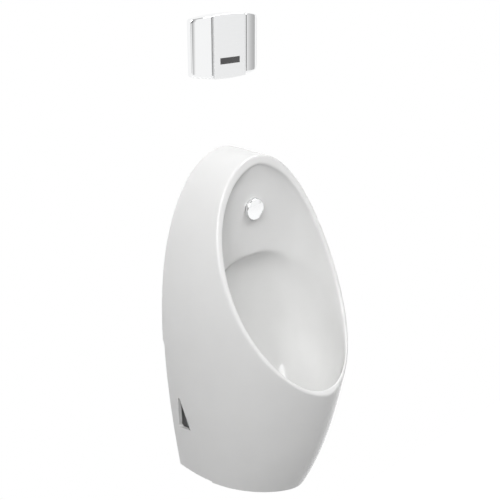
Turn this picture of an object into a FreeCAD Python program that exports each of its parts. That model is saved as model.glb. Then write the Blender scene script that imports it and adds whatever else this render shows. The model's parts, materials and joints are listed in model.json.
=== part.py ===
# Wall hung urinal with a concealed sensor flush unit.
#
# Millimetres. The wall face is the plane y = 0: the room is on its -Y side, and whatever is built
# into the wall is on its +Y side. Heights are measured from the underside of the ceramic body. When
# a piece is written it is moved down, so that the origin lies midway between the hanger fixings.
import FreeCAD, Part
import math
import os
from FreeCAD import Vector

# ---- ceramic body, outside ----------------------------------------------------------------------
BODY_HEIGHT = 720.0
BODY_WIDTH = 356.0            # what the sides aim at, at WIDEST_HEIGHT, before the crown closes
WIDEST_HEIGHT = 368.0
FOOT_WIDTH = 280.0            # along the wall, at the underside
SHOULDER_WIDTH = 349.0        # what the sides aim at, at the top, before the crown closes
CROWN_POWER = 4.46            # the larger, the flatter the arch at the top
FOOT_DEPTH = 241.0            # wall to nose, at the underside
LIP_DEPTH = 328.7             # wall to the lip at the bottom of the mouth
LIP_HEIGHT = 268.0
MID_DEPTH = 381.0             # halfway between the lip and the crown, ahead of the mouth's cut
CROWN_DEPTH = 500.0
FOOT_ROUND = 1.47             # how full each level is across: 1 is a wedge, 2 an ellipse
CROWN_ROUND = 1.97
SIDE_FULLNESS = 2.65          # how long the sides run straight forward before they turn in
NOSE_RADIUS = 18.0            # softens the upright ridge at the front

# ---- mouth and bowl -----------------------------------------------------------------------------
RIM_TOP_DEPTH = 105.2         # wall to the rim at the crown
RIM_SAG = 38.1                # how far the rim's side view hollows behind its chord
RIM_TOP_WIDTH = 18.0
RIM_SIDE_WIDTH = 12.0
RIM_FRONT_WIDTH = 10.0
SHELL_WALL = 11.0             # outer wall of the hollow casting
BOWL_WALL = 9.0
FLOOR_WALL = 12.0
NICHE_LOW_DEPTH = 62.0        # wall to the back of the bowl, at the lip's height
NICHE_INLET_DEPTH = 95.0      # at the inlet
NICHE_HIGH_DEPTH = 102.0      # at the crown
NICHE_CAP = 45.0              # height over which the back curves out to the rim at the top
NICHE_CAP_REACH = 0.96        # share of that curve used, so that the niche ends in a small step
NICHE_LOW_BLUNT = 4.0         # how square the back's corners are, low down
NICHE_HIGH_BLUNT = 2.6        # and under the crown
MOUTH_LEAD = 6.0              # the mouth's sides are full width this far ahead of the rim
BASIN_WIDTH = 262.0
BASIN_CENTRE_HEIGHT = 335.0
BASIN_TOP_REACH = 190.0       # centre to the top of the basin's own hollow
BASIN_BACK_DEPTH = 60.0       # wall to the deepest point of the basin's back
SEAT_HEIGHT = 158.0           # flat at the bottom of the basin, where the waste sits
BASIN_FLOOR_CLOSE = 12.0      # the seat down to where the basin's curve would close
BASIN_FLOOR_REACH = BASIN_CENTRE_HEIGHT - SEAT_HEIGHT + BASIN_FLOOR_CLOSE
BASIN_TOP_SHARE = 0.97        # the basin's own hollow is cut level here, inside the mouth's
BASIN_BACK_BLUNT = 3.2        # how square the basin is, behind the waste's axis
BASIN_FRONT_BLUNT = 1.8       # ahead of it
BASIN_FLOOR_BLUNT = 2.6       # towards its floor
BASIN_TOP_BLUNT = 4.0         # towards its top
REAR_PANEL_RECESS = 3.0       # the sides step in behind a slanting line near the wall
REAR_PANEL_HEIGHT = 328.0     # where that line leaves the wall
REAR_PANEL_DEPTH = 105.0      # where it reaches the underside
SLOT_TOP = (33.0, 209.0)      # corners of the opening in each side: wall distance and height
SLOT_FRONT = (66.0, 123.0)
SLOT_BACK = (22.0, 114.0)
SLOT_ROUND = 6.0

# ---- fixings ------------------------------------------------------------------------------------
HANGER_SPACING = 150.0
HANGER_HEIGHT = 587.0         # height of the two hanger fixings
HANGER_PLATE = (40.0, 50.0, 3.0)
HANGER_ARM_REACH = 14.0       # wall to the front of the hook
HANGER_ARM_RISE = 11.0        # fixing to the arm's underside
HANGER_LIP_RISE = 15.0
HANGER_TOP = 41.0             # fixing to the top of the plate
STEEL = 3.0
HOOK_GAP = 0.3                # ceramic to hook, in front and behind
BOSS_MARGIN = 4.0
HANGER_CLEAR = 6.0            # room below the plate, so that the body can be lifted off the hook
FIXING_HOLE = 9.0             # diameter of every wall fixing hole
LOWER_SPACING = 196.0
LOWER_HEIGHT = 100.0
LOWER_LEG = (36.0, 44.0, 40.0)
CLAMP_BOLT = 8.0
CLAMP_FOOT = (18.0, 6.0)
CLAMP_GAP = 0.3

# ---- inlet --------------------------------------------------------------------------------------
INLET_HEIGHT = 605.0
SPUD_OUTER = 35.0
SPUD_BORE = 30.0
SPUD_LENGTH = 54.0            # from the ceramic's front seat towards the wall
SPUD_FLANGE = 42.0
INLET_WALL = 14.0             # thickness of the pad that the spud is clamped to
CAP_DIAMETER = 46.0
CAP_DEPTH = 10.0
GASKET = 2.0
FIT = 0.15                    # radial gap between round pieces that are sealed or screwed together
FLUSH_PIPE = 25.0
FLUSH_PIPE_WALL = 1.5
FLUSH_BEND = 35.0

# ---- waste and trap -----------------------------------------------------------------------------
DRAIN_DEPTH = 170.0           # wall to the waste's axis
DRAIN_HOLE = 48.0
TAIL_OUTER = 45.0
TAIL_BORE = 40.0
TAIL_LENGTH = 58.0            # seat to the tail's lower end
WASTE_FLANGE = 72.0
WASTE_FLANGE_THICK = 4.0
STRAINER = 60.0
STRAINER_RISE = 7.0
STRAINER_SHEET = 1.6
TRAP_TOP = 115.0
TRAP_OUTER = 84.0
TRAP_WALL = 2.5
TRAP_BOTTOM = 50.0
SOCKET_OUTER = 56.0
DIP_BOTTOM = 25.0
CUP_BOTTOM = 10.0
CUP_OVERLAP = 12.0
CUP_WALL = 3.5
OUTLET_HEIGHT = 88.0
OUTLET_PIPE = 40.0
OUTLET_PIPE_WALL = 2.0
OUTLET_SOCKET = 48.0
OUTLET_BEAD = 2.0
OUTLET_INTO_WALL = 60.0       # wall face to the end of the outlet pipe

# ---- flush plate --------------------------------------------------------------------------------
PLATE_HEIGHT = 928.5          # height of the plate's middle
PLATE_WIDTH = 175.0
PLATE_TALL = 127.0            # on the middle line
PLATE_END = 111.0             # at the two ends
PLATE_FACE = 26.0             # wall to the centre panel's face
PLATE_EDGE = 10.0             # wall to the front of the two ends
PANEL_WIDTH = 84.0
PANEL_THICK = 2.5
GROOVE = 1.6
COVER_WALL = 2.0
WINDOW_SIZE = (51.0, 12.0)
WINDOW_DROP = 28.0            # plate's middle down to the window's middle
WINDOW_FLANGE = 2.5
WINDOW_GAP = 0.2
MODULE_SIZE = (60.0, 30.0)
FRAME_THICK = 4.0
FRAME_GAP = 0.5

# ---- box in the wall, valve and power -----------------------------------------------------------
BOX_SIZE = (136.0, 111.0, 78.0)
BOX_WALL = 3.0
SCREW_LUG = 10.0
SCREW_LUG_DEEP = 30.0
SCREW = 4.0
VALVE_DEPTH = 45.0            # wall face to the valve's axis
CHAMBER_OUTER = 44.0
CHAMBER_BORE = 36.0
CHAMBER_BASE = 19.0           # box's underside to the chamber's
CHAMBER_TALL = 30.0
VALVE_WALL = 3.0
SPIGOT = 26.0
CROSS_RISE = 8.0
CROSS_OUTER = 18.0
CROSS_BORE = 12.0
LEG_OUTER = 20.0
SEAT_OUTER = 21.0
SEAT_BORE = 16.0
SEAT_RISE = 13.0
PISTON_THICK = 4.0
BONNET = 10.0
ARMATURE_OUTER = 12.0
ARMATURE_TALL = 34.0
PLUNGER = 10.0
PLUNGER_TALL = 25.0
RUNNING = 0.05                # radial clearance of everything that slides or turns in a bore
COIL = 28.0
COIL_TALL = 30.0
SUPPLY_OFFSET = 40.0          # valve's axis to the supply's
SUPPLY_THREAD = 20.9
SUPPLY_BORE = 13.0
SUPPLY_COLLAR = 3.0
SUPPLY_RISE = 24.0            # collar to the end of the nipple
STOP_HEIGHT = 945.0
STOP_PLUG = 15.0
STOP_BOSS = 22.0
UNION_OUTER = 38.0
UNION_TALL = 20.0
CELL = (14.5, 50.5)
CELL_PITCH = 15.0
CELL_CASE_WALL = 2.0
CELL_ROOM = 0.1              # cells to the case, all round

# ---- helpers ------------------------------------------------------------------------------------
FINE = 13                     # points each way in a modelled surface
LEFT_RIGHT = (-1, 1)


def through(points, at):
    """The value at `at` of the polynomial through (place, value) points."""
    total = 0.0
    for i, (place, value) in enumerate(points):
        for j, (other, _) in enumerate(points):
            if j != i:
                value *= (at - other) / (place - other)
        total += value
    return total


def steps(low, high, count):
    return [low + (high - low) * i / (count - 1) for i in range(count)]


def patch(grid):
    """A smooth surface through a grid of points; its edges stay exactly in their planes."""
    surface = Part.BSplineSurface()
    surface.interpolate(grid)
    for i, row in enumerate(surface.getPoles(), 1):
        for j, pole in enumerate(row, 1):
            surface.setPole(i, j, Vector(*(0.0 if abs(c) < 1e-4 else c for c in pole)))
    return surface


def borders(surface):
    """The boundary edges of a patch: first row, last row, first column, last column."""
    u0, u1, v0, v1 = surface.bounds()
    return [surface.uIso(u0).toShape(), surface.uIso(u1).toShape(),
            surface.vIso(v0).toShape(), surface.vIso(v1).toShape()]


def line(a, b):
    return Part.LineSegment(Vector(a), Vector(b)).toShape()


def flat(edges):
    return Part.Face(Part.Wire(Part.__sortEdges__(edges)))


def ends(edge):
    return sorted((v.Point for v in edge.Vertexes), key=lambda p: p.y)


def closed(faces):
    """A solid from faces that meet along their edges."""
    shell = Part.makeShell(faces)
    shell.sewShape()
    solid = Part.makeSolid(shell)
    if solid.Volume < 0:
        solid.reverse()
    return solid


def rod(radius, start, end):
    """A round bar from one point to another."""
    way = Vector(end) - Vector(start)
    return Part.makeCylinder(radius, way.Length, Vector(start), way)


def ring(outer, inner, start, end):
    return rod(outer, start, end).cut(rod(inner, start, end))


def block(x0, x1, y0, y1, z0, z1):
    return Part.makeBox(x1 - x0, y1 - y0, z1 - z0, Vector(x0, y0, z0))


def fused(shapes):
    first, *rest = shapes
    return first.multiFuse(rest).removeSplitter() if rest else first


# ---- the ceramic's surfaces ---------------------------------------------------------------------
def rim_depth(z):
    """Wall to rim at a height: the mouth is one curved cut across the body."""
    s = (BODY_HEIGHT - z) / (BODY_HEIGHT - LIP_HEIGHT)
    return RIM_TOP_DEPTH + (LIP_DEPTH - RIM_TOP_DEPTH) * s - 4 * RIM_SAG * s * (1 - s)


def body_depth(z):
    return through([(0, FOOT_DEPTH), (LIP_HEIGHT, LIP_DEPTH),
                    ((LIP_HEIGHT + BODY_HEIGHT) / 2, MID_DEPTH), (BODY_HEIGHT, CROWN_DEPTH)], z)


def body_half(z, depth, side, front, top):
    """Half the body's width at a height and depth, with its surfaces brought in by three walls."""
    wide = through([(0, FOOT_WIDTH / 2), (WIDEST_HEIGHT, BODY_WIDTH / 2),
                    (BODY_HEIGHT, SHOULDER_WIDTH / 2)], z) - side
    level = min(1.0, max(0.0, z) / (BODY_HEIGHT - top))
    wide *= math.sqrt(1 - level ** CROWN_POWER)
    full = 1 - min(1.0, depth / (body_depth(z) - front)) ** SIDE_FULLNESS
    p = FOOT_ROUND + (CROWN_ROUND - FOOT_ROUND) * z / BODY_HEIGHT
    soft = NOSE_RADIUS ** p
    reach = (full * ((wide ** 2 + NOSE_RADIUS ** 2) ** (p / 2) - soft) + soft) ** (2 / p)
    return math.sqrt(max(0.0, reach - NOSE_RADIUS ** 2))


def body_solid(wall=0.0):
    """The outer form, or the same form brought in by a wall; flat on the wall and underneath."""
    top = BODY_HEIGHT - wall
    grid = []
    for tau in steps(0, math.pi / 2, FINE):
        z = top * math.sin(tau)
        deep = body_depth(z) - wall
        grid.append([Vector(body_half(z, y, wall, wall, wall), -y, z)
                     for y in (deep * math.sin(phi) for phi in steps(0, math.pi / 2, FINE))])
    skin = patch(grid)
    foot, crown, back, nose = borders(skin)
    origin = Vector(0, 0, 0)
    toe, heel = ends(foot)
    spine = line(origin, Vector(0, 0, top))
    keel, base = line(origin, toe), line(origin, heel)
    return closed([skin.toShape(), flat([back, spine, base]), flat([foot, keel, base]),
                        flat([nose, crown, spine, keel])])


def scoop():
    """All that lies in front of the rim's curve."""
    above, below, far = BODY_HEIGHT + 25, LIP_HEIGHT - 60, -1.5 * CROWN_DEPTH
    curve = Part.BSplineCurve()
    curve.interpolate([Vector(-BODY_WIDTH, -rim_depth(z), z) for z in steps(above, below, FINE)])
    corners = [curve.EndPoint, Vector(-BODY_WIDTH, far, below), Vector(-BODY_WIDTH, far, above),
               curve.StartPoint]
    edges = [curve.toShape()] + [line(a, b) for a, b in zip(corners, corners[1:])]
    return flat(edges).extrude(Vector(2 * BODY_WIDTH, 0, 0))


def niche_depth(z, crown):
    """Wall to the bowl's back on the middle plane; it curves out to the rim under the crown."""
    deep = through([(LIP_HEIGHT, NICHE_LOW_DEPTH), (INLET_HEIGHT, NICHE_INLET_DEPTH),
                    (BODY_HEIGHT, NICHE_HIGH_DEPTH)], z)
    rise = NICHE_CAP_REACH * max(0.0, 1 - (crown - z) / NICHE_CAP)
    return deep + (rim_depth(z) - deep) * (1 - math.sqrt(1 - rise ** 2))


def mouth_foot(front):
    """The height at which the rim's inner edges meet at the front."""
    low, high = 0.0, (LIP_HEIGHT + BODY_HEIGHT) / 2
    for _ in range(40):
        middle = (low + high) / 2
        if rim_depth(middle) > body_depth(middle) - front:
            low = middle
        else:
            high = middle
    return high


def mouth_solid(wall=0.0):
    """The upper hollow: the rim's inner edge carried to the bowl's back and out to the front."""
    side, front, top = RIM_SIDE_WIDTH - wall, RIM_FRONT_WIDTH - wall, RIM_TOP_WIDTH - wall
    low, crown = mouth_foot(front), BODY_HEIGHT - top
    centre, reach = (crown + low) / 2, (crown - low) / 2
    grid = []
    for tau in steps(-math.pi / 2, math.pi / 2, 2 * FINE):
        z = centre + reach * math.sin(tau)
        half = body_half(z, rim_depth(z), side, front, top) if abs(math.cos(tau)) > 1e-9 else 0.0
        rim = rim_depth(z) + MOUTH_LEAD
        deep = rim - (niche_depth(z, crown) - wall)
        blunt = NICHE_LOW_BLUNT + (NICHE_HIGH_BLUNT - NICHE_LOW_BLUNT) * (z - low) / (crown - low)
        grid.append([Vector(half * x, -rim + deep * math.sqrt(max(0, 1 - x ** blunt)), z)
                     for x in (math.sin(a) for a in steps(0, math.pi / 2, FINE))])
    back = patch(grid)
    lower, upper, spine, join = borders(back)
    far = -1.2 * CROWN_DEPTH
    front_curve = back.vIso(back.bounds()[3])
    for i, pole in enumerate(front_curve.getPoles()):
        front_curve.setPole(i + 1, Vector(pole.x, far, pole.z))
    opening = front_curve.toShape()
    straight = Part.makeRuledSurface(join, opening)
    low_join, high_join = (sorted((v.Point for v in join.Vertexes), key=lambda p: p.z))
    low_far, high_far = Vector(0, far, low_join.z), Vector(0, far, high_join.z)
    mast = line(low_far, high_far)
    middle = [spine, lower, upper, mast, line(low_join, low_far), line(high_join, high_far)]
    return closed([back.toShape(), straight, flat([opening, mast]), flat(middle)])


def basin_solid(wall=0.0):
    """The lower hollow: wider and deeper than the mouth behind it, with a flat for the waste."""
    seat = SEAT_HEIGHT - (FLOOR_WALL if wall else 0.0)
    low, high = seat - BASIN_CENTRE_HEIGHT, BASIN_TOP_SHARE * BASIN_TOP_REACH
    floor_reach = BASIN_FLOOR_REACH + (FLOOR_WALL if wall else 0.0)
    lip_fall = 1 - ((BASIN_CENTRE_HEIGHT - LIP_HEIGHT) / floor_reach) ** BASIN_FLOOR_BLUNT
    grid = []
    for rise in steps(low, high, 2 * FINE):
        z = BASIN_CENTRE_HEIGHT + rise
        if rise < 0:
            across = back_share = math.sqrt(1 - (-rise / floor_reach) ** BASIN_FLOOR_BLUNT)
        else:
            across = math.sqrt(1 - (rise / BASIN_TOP_REACH) ** BASIN_TOP_BLUNT)
            back_share = math.sqrt(1 - (rise / BASIN_TOP_REACH) ** (1.5 * BASIN_TOP_BLUNT))
        half = (BASIN_WIDTH / 2 + wall) * across
        deep = (DRAIN_DEPTH - BASIN_BACK_DEPTH + wall) * back_share
        ahead = body_depth(max(z, LIP_HEIGHT)) - RIM_FRONT_WIDTH + wall - DRAIN_DEPTH
        if z < LIP_HEIGHT:
            ahead *= (across ** 2 / lip_fall) ** 0.75
        elif rise > 0:
            ahead *= across
        turns = [math.sin(a) for a in steps(0, math.pi / 2, FINE)]
        row = [Vector(half * x, deep * math.sqrt(1 - x ** BASIN_BACK_BLUNT) - DRAIN_DEPTH, z) for x in turns]
        row += [Vector(half * math.sqrt(max(0, 1 - y ** BASIN_FRONT_BLUNT)), -DRAIN_DEPTH - ahead * y, z)
                for y in turns[1:]]
        grid.append(row)
    skin = patch(grid)
    lower, upper, back, front = borders(skin)
    floor = line(*ends(lower))
    lid = line(*ends(upper))
    return closed([skin.toShape(), flat([lower, floor]), flat([upper, lid]),
                        flat([back, front, floor, lid])])


# ---- ceramic body -------------------------------------------------------------------------------
def wall_prism(corners, x0, x1):
    """A solid whose side view is given by (wall distance, height) corners."""
    points = [Vector(x0, -y, z) for y, z in corners]
    return Part.Face(Part.makePolygon(points + points[:1])).extrude(Vector(x1 - x0, 0, 0))


def side_slot():
    slot = wall_prism([SLOT_TOP, SLOT_FRONT, SLOT_BACK], 0, BODY_WIDTH)
    upright = [e for e in slot.Edges if abs(e.tangentAt(e.FirstParameter).x) > 0.9]
    return slot.makeFillet(SLOT_ROUND, upright)


def rear_panel():
    """The thin skin taken off each side behind the slanting line."""
    corners = [(0, REAR_PANEL_HEIGHT), (REAR_PANEL_DEPTH, 0), (REAR_PANEL_DEPTH, -1), (-1, -1),
               (-1, REAR_PANEL_HEIGHT)]
    return wall_prism(corners, 1, BODY_WIDTH).cut(body_solid(REAR_PANEL_RECESS))


def hanger_boss():
    """A block behind the bowl with a pocket that drops over the wall hook."""
    middle = HANGER_SPACING / 2
    half = HANGER_PLATE[0] / 2 + 1
    foot = HANGER_HEIGHT - HANGER_PLATE[1] / 2 - HANGER_CLEAR
    head = HANGER_HEIGHT + HANGER_TOP + BOSS_MARGIN
    boss = block(middle - half - SHELL_WALL, middle + half, -NICHE_INLET_DEPTH + BOWL_WALL - 2, 0,
                 foot, head + BOWL_WALL)
    pocket = block(middle - half, middle + half, -HANGER_ARM_REACH - 2, 0, foot, head)
    tongue = block(middle - half, middle + half, -hook_inside() + HOOK_GAP, -STEEL - HOOK_GAP,
                   arm_top(), head)
    return boss, pocket.cut(tongue)


def hook_inside():
    return HANGER_ARM_REACH - STEEL


def arm_top():
    return HANGER_HEIGHT + HANGER_ARM_RISE + STEEL


def ceramic_body():
    hollow = body_solid(SHELL_WALL).cut(mouth_solid(BOWL_WALL)).cut(basin_solid(BOWL_WALL))
    body = body_solid().cut(scoop()).cut(mouth_solid()).cut(basin_solid()).cut(hollow)
    seat = NICHE_INLET_DEPTH - 1
    axis = INLET_HEIGHT
    boss, pocket = hanger_boss()
    body = body.fuse([rod(CAP_DIAMETER / 2 + 0.5, (0, -seat, axis), (0, INLET_WALL - seat, axis)),
                      rod(SPUD_FLANGE / 2 + 9, (0, 6 - seat, axis), (0, INLET_WALL - seat, axis)), boss])
    body = body.cut([
        rod(CAP_DIAMETER / 2 + 0.5, (0, -2 * seat, axis), (0, -seat, axis)),
        rod(SPUD_OUTER / 2 + 1, (0, -2 * seat, axis), (0, 0, axis)),
        rod(DRAIN_HOLE / 2, (0, -DRAIN_DEPTH, 0), (0, -DRAIN_DEPTH, SEAT_HEIGHT + FLOOR_WALL)),
        pocket, side_slot(), rear_panel(), block(-BODY_WIDTH, 0, -CROWN_DEPTH, 0, 0, BODY_HEIGHT)])
    half = body.Solids[0]
    return half.fuse([half.mirror(Vector(0, 0, 0), Vector(1, 0, 0))], 0.001).removeSplitter()


# ---- fixings ------------------------------------------------------------------------------------
def hanger_bracket(side):
    """A hook screwed to the wall; the ceramic's pocket drops over its lip."""
    middle, half = side * HANGER_SPACING / 2, HANGER_PLATE[0] / 2
    low = HANGER_HEIGHT - HANGER_PLATE[1] / 2
    plate = block(middle - half, middle + half, -STEEL, 0, low, HANGER_HEIGHT + HANGER_TOP)
    arm = block(middle - half, middle + half, -HANGER_ARM_REACH, 0, arm_top() - STEEL, arm_top())
    lip = block(middle - half, middle + half, -HANGER_ARM_REACH, -hook_inside(), arm_top() - STEEL,
                arm_top() - STEEL + HANGER_LIP_RISE)
    hole = rod(FIXING_HOLE / 2, (middle, -STEEL, HANGER_HEIGHT), (middle, 0, HANGER_HEIGHT))
    return fused([plate, arm, lip]).cut(hole)


def clamp_reach():
    """How far from the middle plane the clamp's rubber foot presses on the ceramic."""
    radius = CLAMP_FOOT[0] / 2
    corners = [body_half(LOWER_HEIGHT + dz, LOWER_LEG[1] / 2 + dy, SHELL_WALL, SHELL_WALL, SHELL_WALL)
               for dz in (-radius, radius) for dy in (-radius, radius)]
    return min(corners) - CLAMP_GAP


def lower_bracket(side):
    """An angle on the wall whose forward leg carries the clamp bolt."""
    wide, deep, tall = LOWER_LEG
    middle = LOWER_SPACING / 2
    low, high = LOWER_HEIGHT - tall / 2, LOWER_HEIGHT + tall / 2
    outer = middle + wide / 2
    wall_leg = block(middle - wide / 2, outer, -STEEL, 0, low, high)
    side_leg = block(outer - STEEL, outer, -deep, 0, low, high)
    hole = rod(FIXING_HOLE / 2, (middle, -STEEL, LOWER_HEIGHT), (middle, 0, LOWER_HEIGHT))
    bolt = rod(CLAMP_BOLT / 2, (middle, -deep / 2, LOWER_HEIGHT), (2 * middle, -deep / 2, LOWER_HEIGHT))
    return mirrored(fused([wall_leg, side_leg]).cut(hole).cut(bolt), side)


def mirrored(shape, side):
    return shape.mirror(Vector(0, 0, 0), Vector(1, 0, 0)) if side < 0 else shape


def clamp_bolt(side):
    y, z = -LOWER_LEG[1] / 2, LOWER_HEIGHT
    face = LOWER_SPACING / 2 + LOWER_LEG[0] / 2
    shank = rod(CLAMP_BOLT / 2, (face - STEEL, y, z), (clamp_reach() - CLAMP_FOOT[1] / 2, y, z))
    head = hexagon(CLAMP_BOLT * 1.6, (face - STEEL - CLAMP_BOLT * 0.7, y, z), (face - STEEL, y, z))
    return mirrored(shank.fuse(head).removeSplitter(), side)


def clamp_foot(side):
    y, z = -LOWER_LEG[1] / 2, LOWER_HEIGHT
    tip = clamp_reach()
    foot = rod(CLAMP_FOOT[0] / 2, (tip - CLAMP_FOOT[1], y, z), (tip, y, z))
    return mirrored(foot.cut(rod(CLAMP_BOLT / 2, (0, y, z), (tip - CLAMP_FOOT[1] / 2, y, z))), side)


def hexagon(across_flats, start, end):
    """A six-sided bar from one point to another, by its size across the flats."""
    start, end = Vector(start), Vector(end)
    way = end - start
    side = Vector(0, 0, 1) if abs(way.z) < way.Length / 2 else Vector(0, 1, 0)
    arm = side * (across_flats / math.sqrt(3))
    turn = [FreeCAD.Rotation(way, 60 * k).multVec(arm) for k in range(7)]
    return Part.Face(Part.makePolygon([start + p for p in turn])).extrude(way)


def hex_nut(across_flats, bore, start, end):
    return hexagon(across_flats, start, end).cut(rod(bore / 2, start, end))


# ---- inlet --------------------------------------------------------------------------------------
def inlet(depth):
    return (0, -depth, INLET_HEIGHT)


def spud_seat():
    return NICHE_INLET_DEPTH - 1


def spud_front():
    return spud_seat() + GASKET


def spud_back():
    return spud_seat() - INLET_WALL


def spreader_body():
    flange = rod(SPUD_FLANGE / 2, inlet(spud_front() + STEEL), inlet(spud_front()))
    tube = rod(SPUD_OUTER / 2, inlet(spud_front()), inlet(spud_seat() - SPUD_LENGTH))
    bore = rod(SPUD_BORE / 2, inlet(spud_front()), inlet(0))
    holes = [rod(2.5, (9 * math.cos(a), -2 * spud_seat(), INLET_HEIGHT + 9 * math.sin(a)),
                 (9 * math.cos(a), -spud_seat(), INLET_HEIGHT + 9 * math.sin(a)))
             for a in steps(0, 2 * math.pi * 5 / 6, 6)]
    return flange.fuse(tube).cut([bore] + holes).removeSplitter()


def spreader_cap():
    """A low dome over the spud's flange, with a slot underneath for the water."""
    back = spud_front() + 0.5
    front = back + CAP_DEPTH
    radius = CAP_DIAMETER / 2
    crown = 3.0
    dome_radius = (radius ** 2 + crown ** 2) / (2 * crown)
    outer = rod(radius, inlet(front), inlet(back))
    outer = outer.common(Part.makeSphere(dome_radius, Vector(*inlet(front - dome_radius))))
    inner = rod(SPUD_FLANGE / 2 + FIT, inlet(front - crown - 1.5), inlet(back))
    slot = block(-12, 12, -(front - crown - 1.5), -(spud_front() + STEEL + 0.5),
                 INLET_HEIGHT - radius - 1, INLET_HEIGHT - radius / 2)
    return outer.cut([inner, slot])


def spreader_nut():
    start, end = inlet(spud_back() - GASKET), inlet(spud_back() - GASKET - 9)
    return hex_nut(SPUD_OUTER + 15, SPUD_OUTER + 2 * FIT, start, end)


def spud_gasket(outer, start, end):
    return ring(outer / 2, SPUD_OUTER / 2 + FIT, inlet(start), inlet(end))


def inlet_seal():
    back = spud_seat() - SPUD_LENGTH
    grip = ring(SPUD_BORE / 2 - FIT, FLUSH_PIPE / 2 + FIT, inlet(back + 16), inlet(back))
    lip = ring(SPUD_OUTER / 2, FLUSH_PIPE / 2 + FIT, inlet(back), inlet(back - 3))
    return grip.fuse(lip).removeSplitter()


def box_floor():
    return PLATE_HEIGHT - BOX_SIZE[1] / 2


def box_top():
    return PLATE_HEIGHT + BOX_SIZE[1] / 2


def chamber_floor():
    return box_floor() + CHAMBER_BASE


def flush_pipe_top():
    return box_floor() - 5


def flush_pipe():
    """From the spud through the wall, then up to the valve."""
    start = Vector(*inlet(spud_seat() - SPUD_LENGTH + 14))
    corner = Vector(0, VALVE_DEPTH, INLET_HEIGHT)
    bend_start, bend_end = corner - Vector(0, FLUSH_BEND, 0), corner + Vector(0, 0, FLUSH_BEND)
    centre = bend_start + Vector(0, 0, FLUSH_BEND)
    middle = centre + Vector(0, math.sin(math.pi / 4), -math.cos(math.pi / 4)) * FLUSH_BEND
    top = Vector(0, VALVE_DEPTH, flush_pipe_top())
    path = Part.Wire([line(start, bend_start), Part.Arc(bend_start, middle, bend_end).toShape(),
                      line(bend_end, top)])

    def tube(radius):
        circle = Part.Wire(Part.makeCircle(radius, start, Vector(0, 1, 0)))
        return path.makePipeShell([circle], True, False)
    return tube(FLUSH_PIPE / 2).cut(tube(FLUSH_PIPE / 2 - FLUSH_PIPE_WALL))


# ---- waste and trap -----------------------------------------------------------------------------
def drain(z):
    return (0, -DRAIN_DEPTH, z)


def waste_flange():
    base = SEAT_HEIGHT + GASKET
    disc = rod(WASTE_FLANGE / 2, drain(base), drain(base + WASTE_FLANGE_THICK))
    edges = [e for e in disc.Edges if e.BoundBox.ZMin > base + 1 and len(e.Vertexes) == 1]
    disc = disc.makeFillet(1.5, edges)
    tail = rod(TAIL_OUTER / 2, drain(base), drain(SEAT_HEIGHT - TAIL_LENGTH))
    recess = rod(STRAINER / 2 + 0.5, drain(base + WASTE_FLANGE_THICK - STRAINER_SHEET), drain(base + 9))
    bore = rod(TAIL_BORE / 2, drain(0), drain(base + 9))
    return disc.fuse(tail).cut([recess, bore]).removeSplitter()


def strainer():
    """A pierced dome that lies in the flange's recess."""
    base = SEAT_HEIGHT + GASKET + WASTE_FLANGE_THICK - STRAINER_SHEET
    radius, rise = STRAINER / 2, STRAINER_RISE

    def cap(lift, low):
        dome = (radius ** 2 + rise ** 2) / (2 * rise)
        ball = Part.makeSphere(dome, Vector(*drain(base + rise - dome + lift)))
        return ball.common(rod(radius, drain(low), drain(base + 2 * rise)))
    sheet = cap(STRAINER_SHEET, base).cut(cap(0, base - 1))
    rim = ring(radius, TAIL_BORE / 2 + 2, drain(base), drain(base + STRAINER_SHEET))
    dome = sheet.fuse(rim).removeSplitter()
    holes = []
    for count, circle in ((1, 0), (6, 7), (12, 14)):
        for k in range(count):
            a = 2 * math.pi * k / count
            x, y = circle * math.cos(a), circle * math.sin(a) - DRAIN_DEPTH
            holes.append(rod(2.2, (x, y, base - 1), (x, y, base + 3 * rise)))
    return dome.cut(holes)


def waste_gasket(base):
    return ring(WASTE_FLANGE / 2 - 1, TAIL_OUTER / 2 + FIT, drain(base), drain(base + GASKET))


def floor_underside():
    return SEAT_HEIGHT - FLOOR_WALL


def waste_nut():
    top = floor_underside() - GASKET
    return hex_nut(TAIL_OUTER + 15, TAIL_OUTER + 2 * FIT, drain(top - 9), drain(top))


def trap_body():
    """The upper half of a bottle trap: socket above, dip tube inside, outlet towards the wall."""
    radius = TRAP_OUTER / 2
    centre = Vector(0, -DRAIN_DEPTH, 0)
    shell = rod(radius, drain(TRAP_BOTTOM), drain(TRAP_TOP))
    socket = rod(SOCKET_OUTER / 2, drain(TRAP_TOP), drain(TRAP_TOP + 10))
    stub_end = -DRAIN_DEPTH + radius + 20
    stub = rod(OUTLET_SOCKET / 2, (0, centre.y, OUTLET_HEIGHT), (0, stub_end, OUTLET_HEIGHT))
    inside = rod(radius - TRAP_WALL, drain(TRAP_BOTTOM), drain(TRAP_TOP - TRAP_WALL))
    dip_outer, dip_inner = TAIL_OUTER / 2 + TRAP_WALL + FIT, TAIL_OUTER / 2 + FIT
    dip = ring(dip_outer, dip_inner, drain(DIP_BOTTOM), drain(TRAP_TOP))
    bore = rod(dip_inner, drain(TRAP_TOP - TRAP_WALL), drain(TRAP_TOP + 10))
    port = rod(OUTLET_PIPE / 2 + FIT, (0, centre.y + dip_outer + 1, OUTLET_HEIGHT),
               (0, stub_end, OUTLET_HEIGHT))
    return shell.fuse([socket, stub]).cut([inside, port]).fuse(dip).cut(bore).removeSplitter()


def trap_inlet_seal():
    top = TRAP_TOP + 10
    return ring(SOCKET_OUTER / 2, TAIL_OUTER / 2 + FIT, drain(top), drain(top + 2.5))


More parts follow.
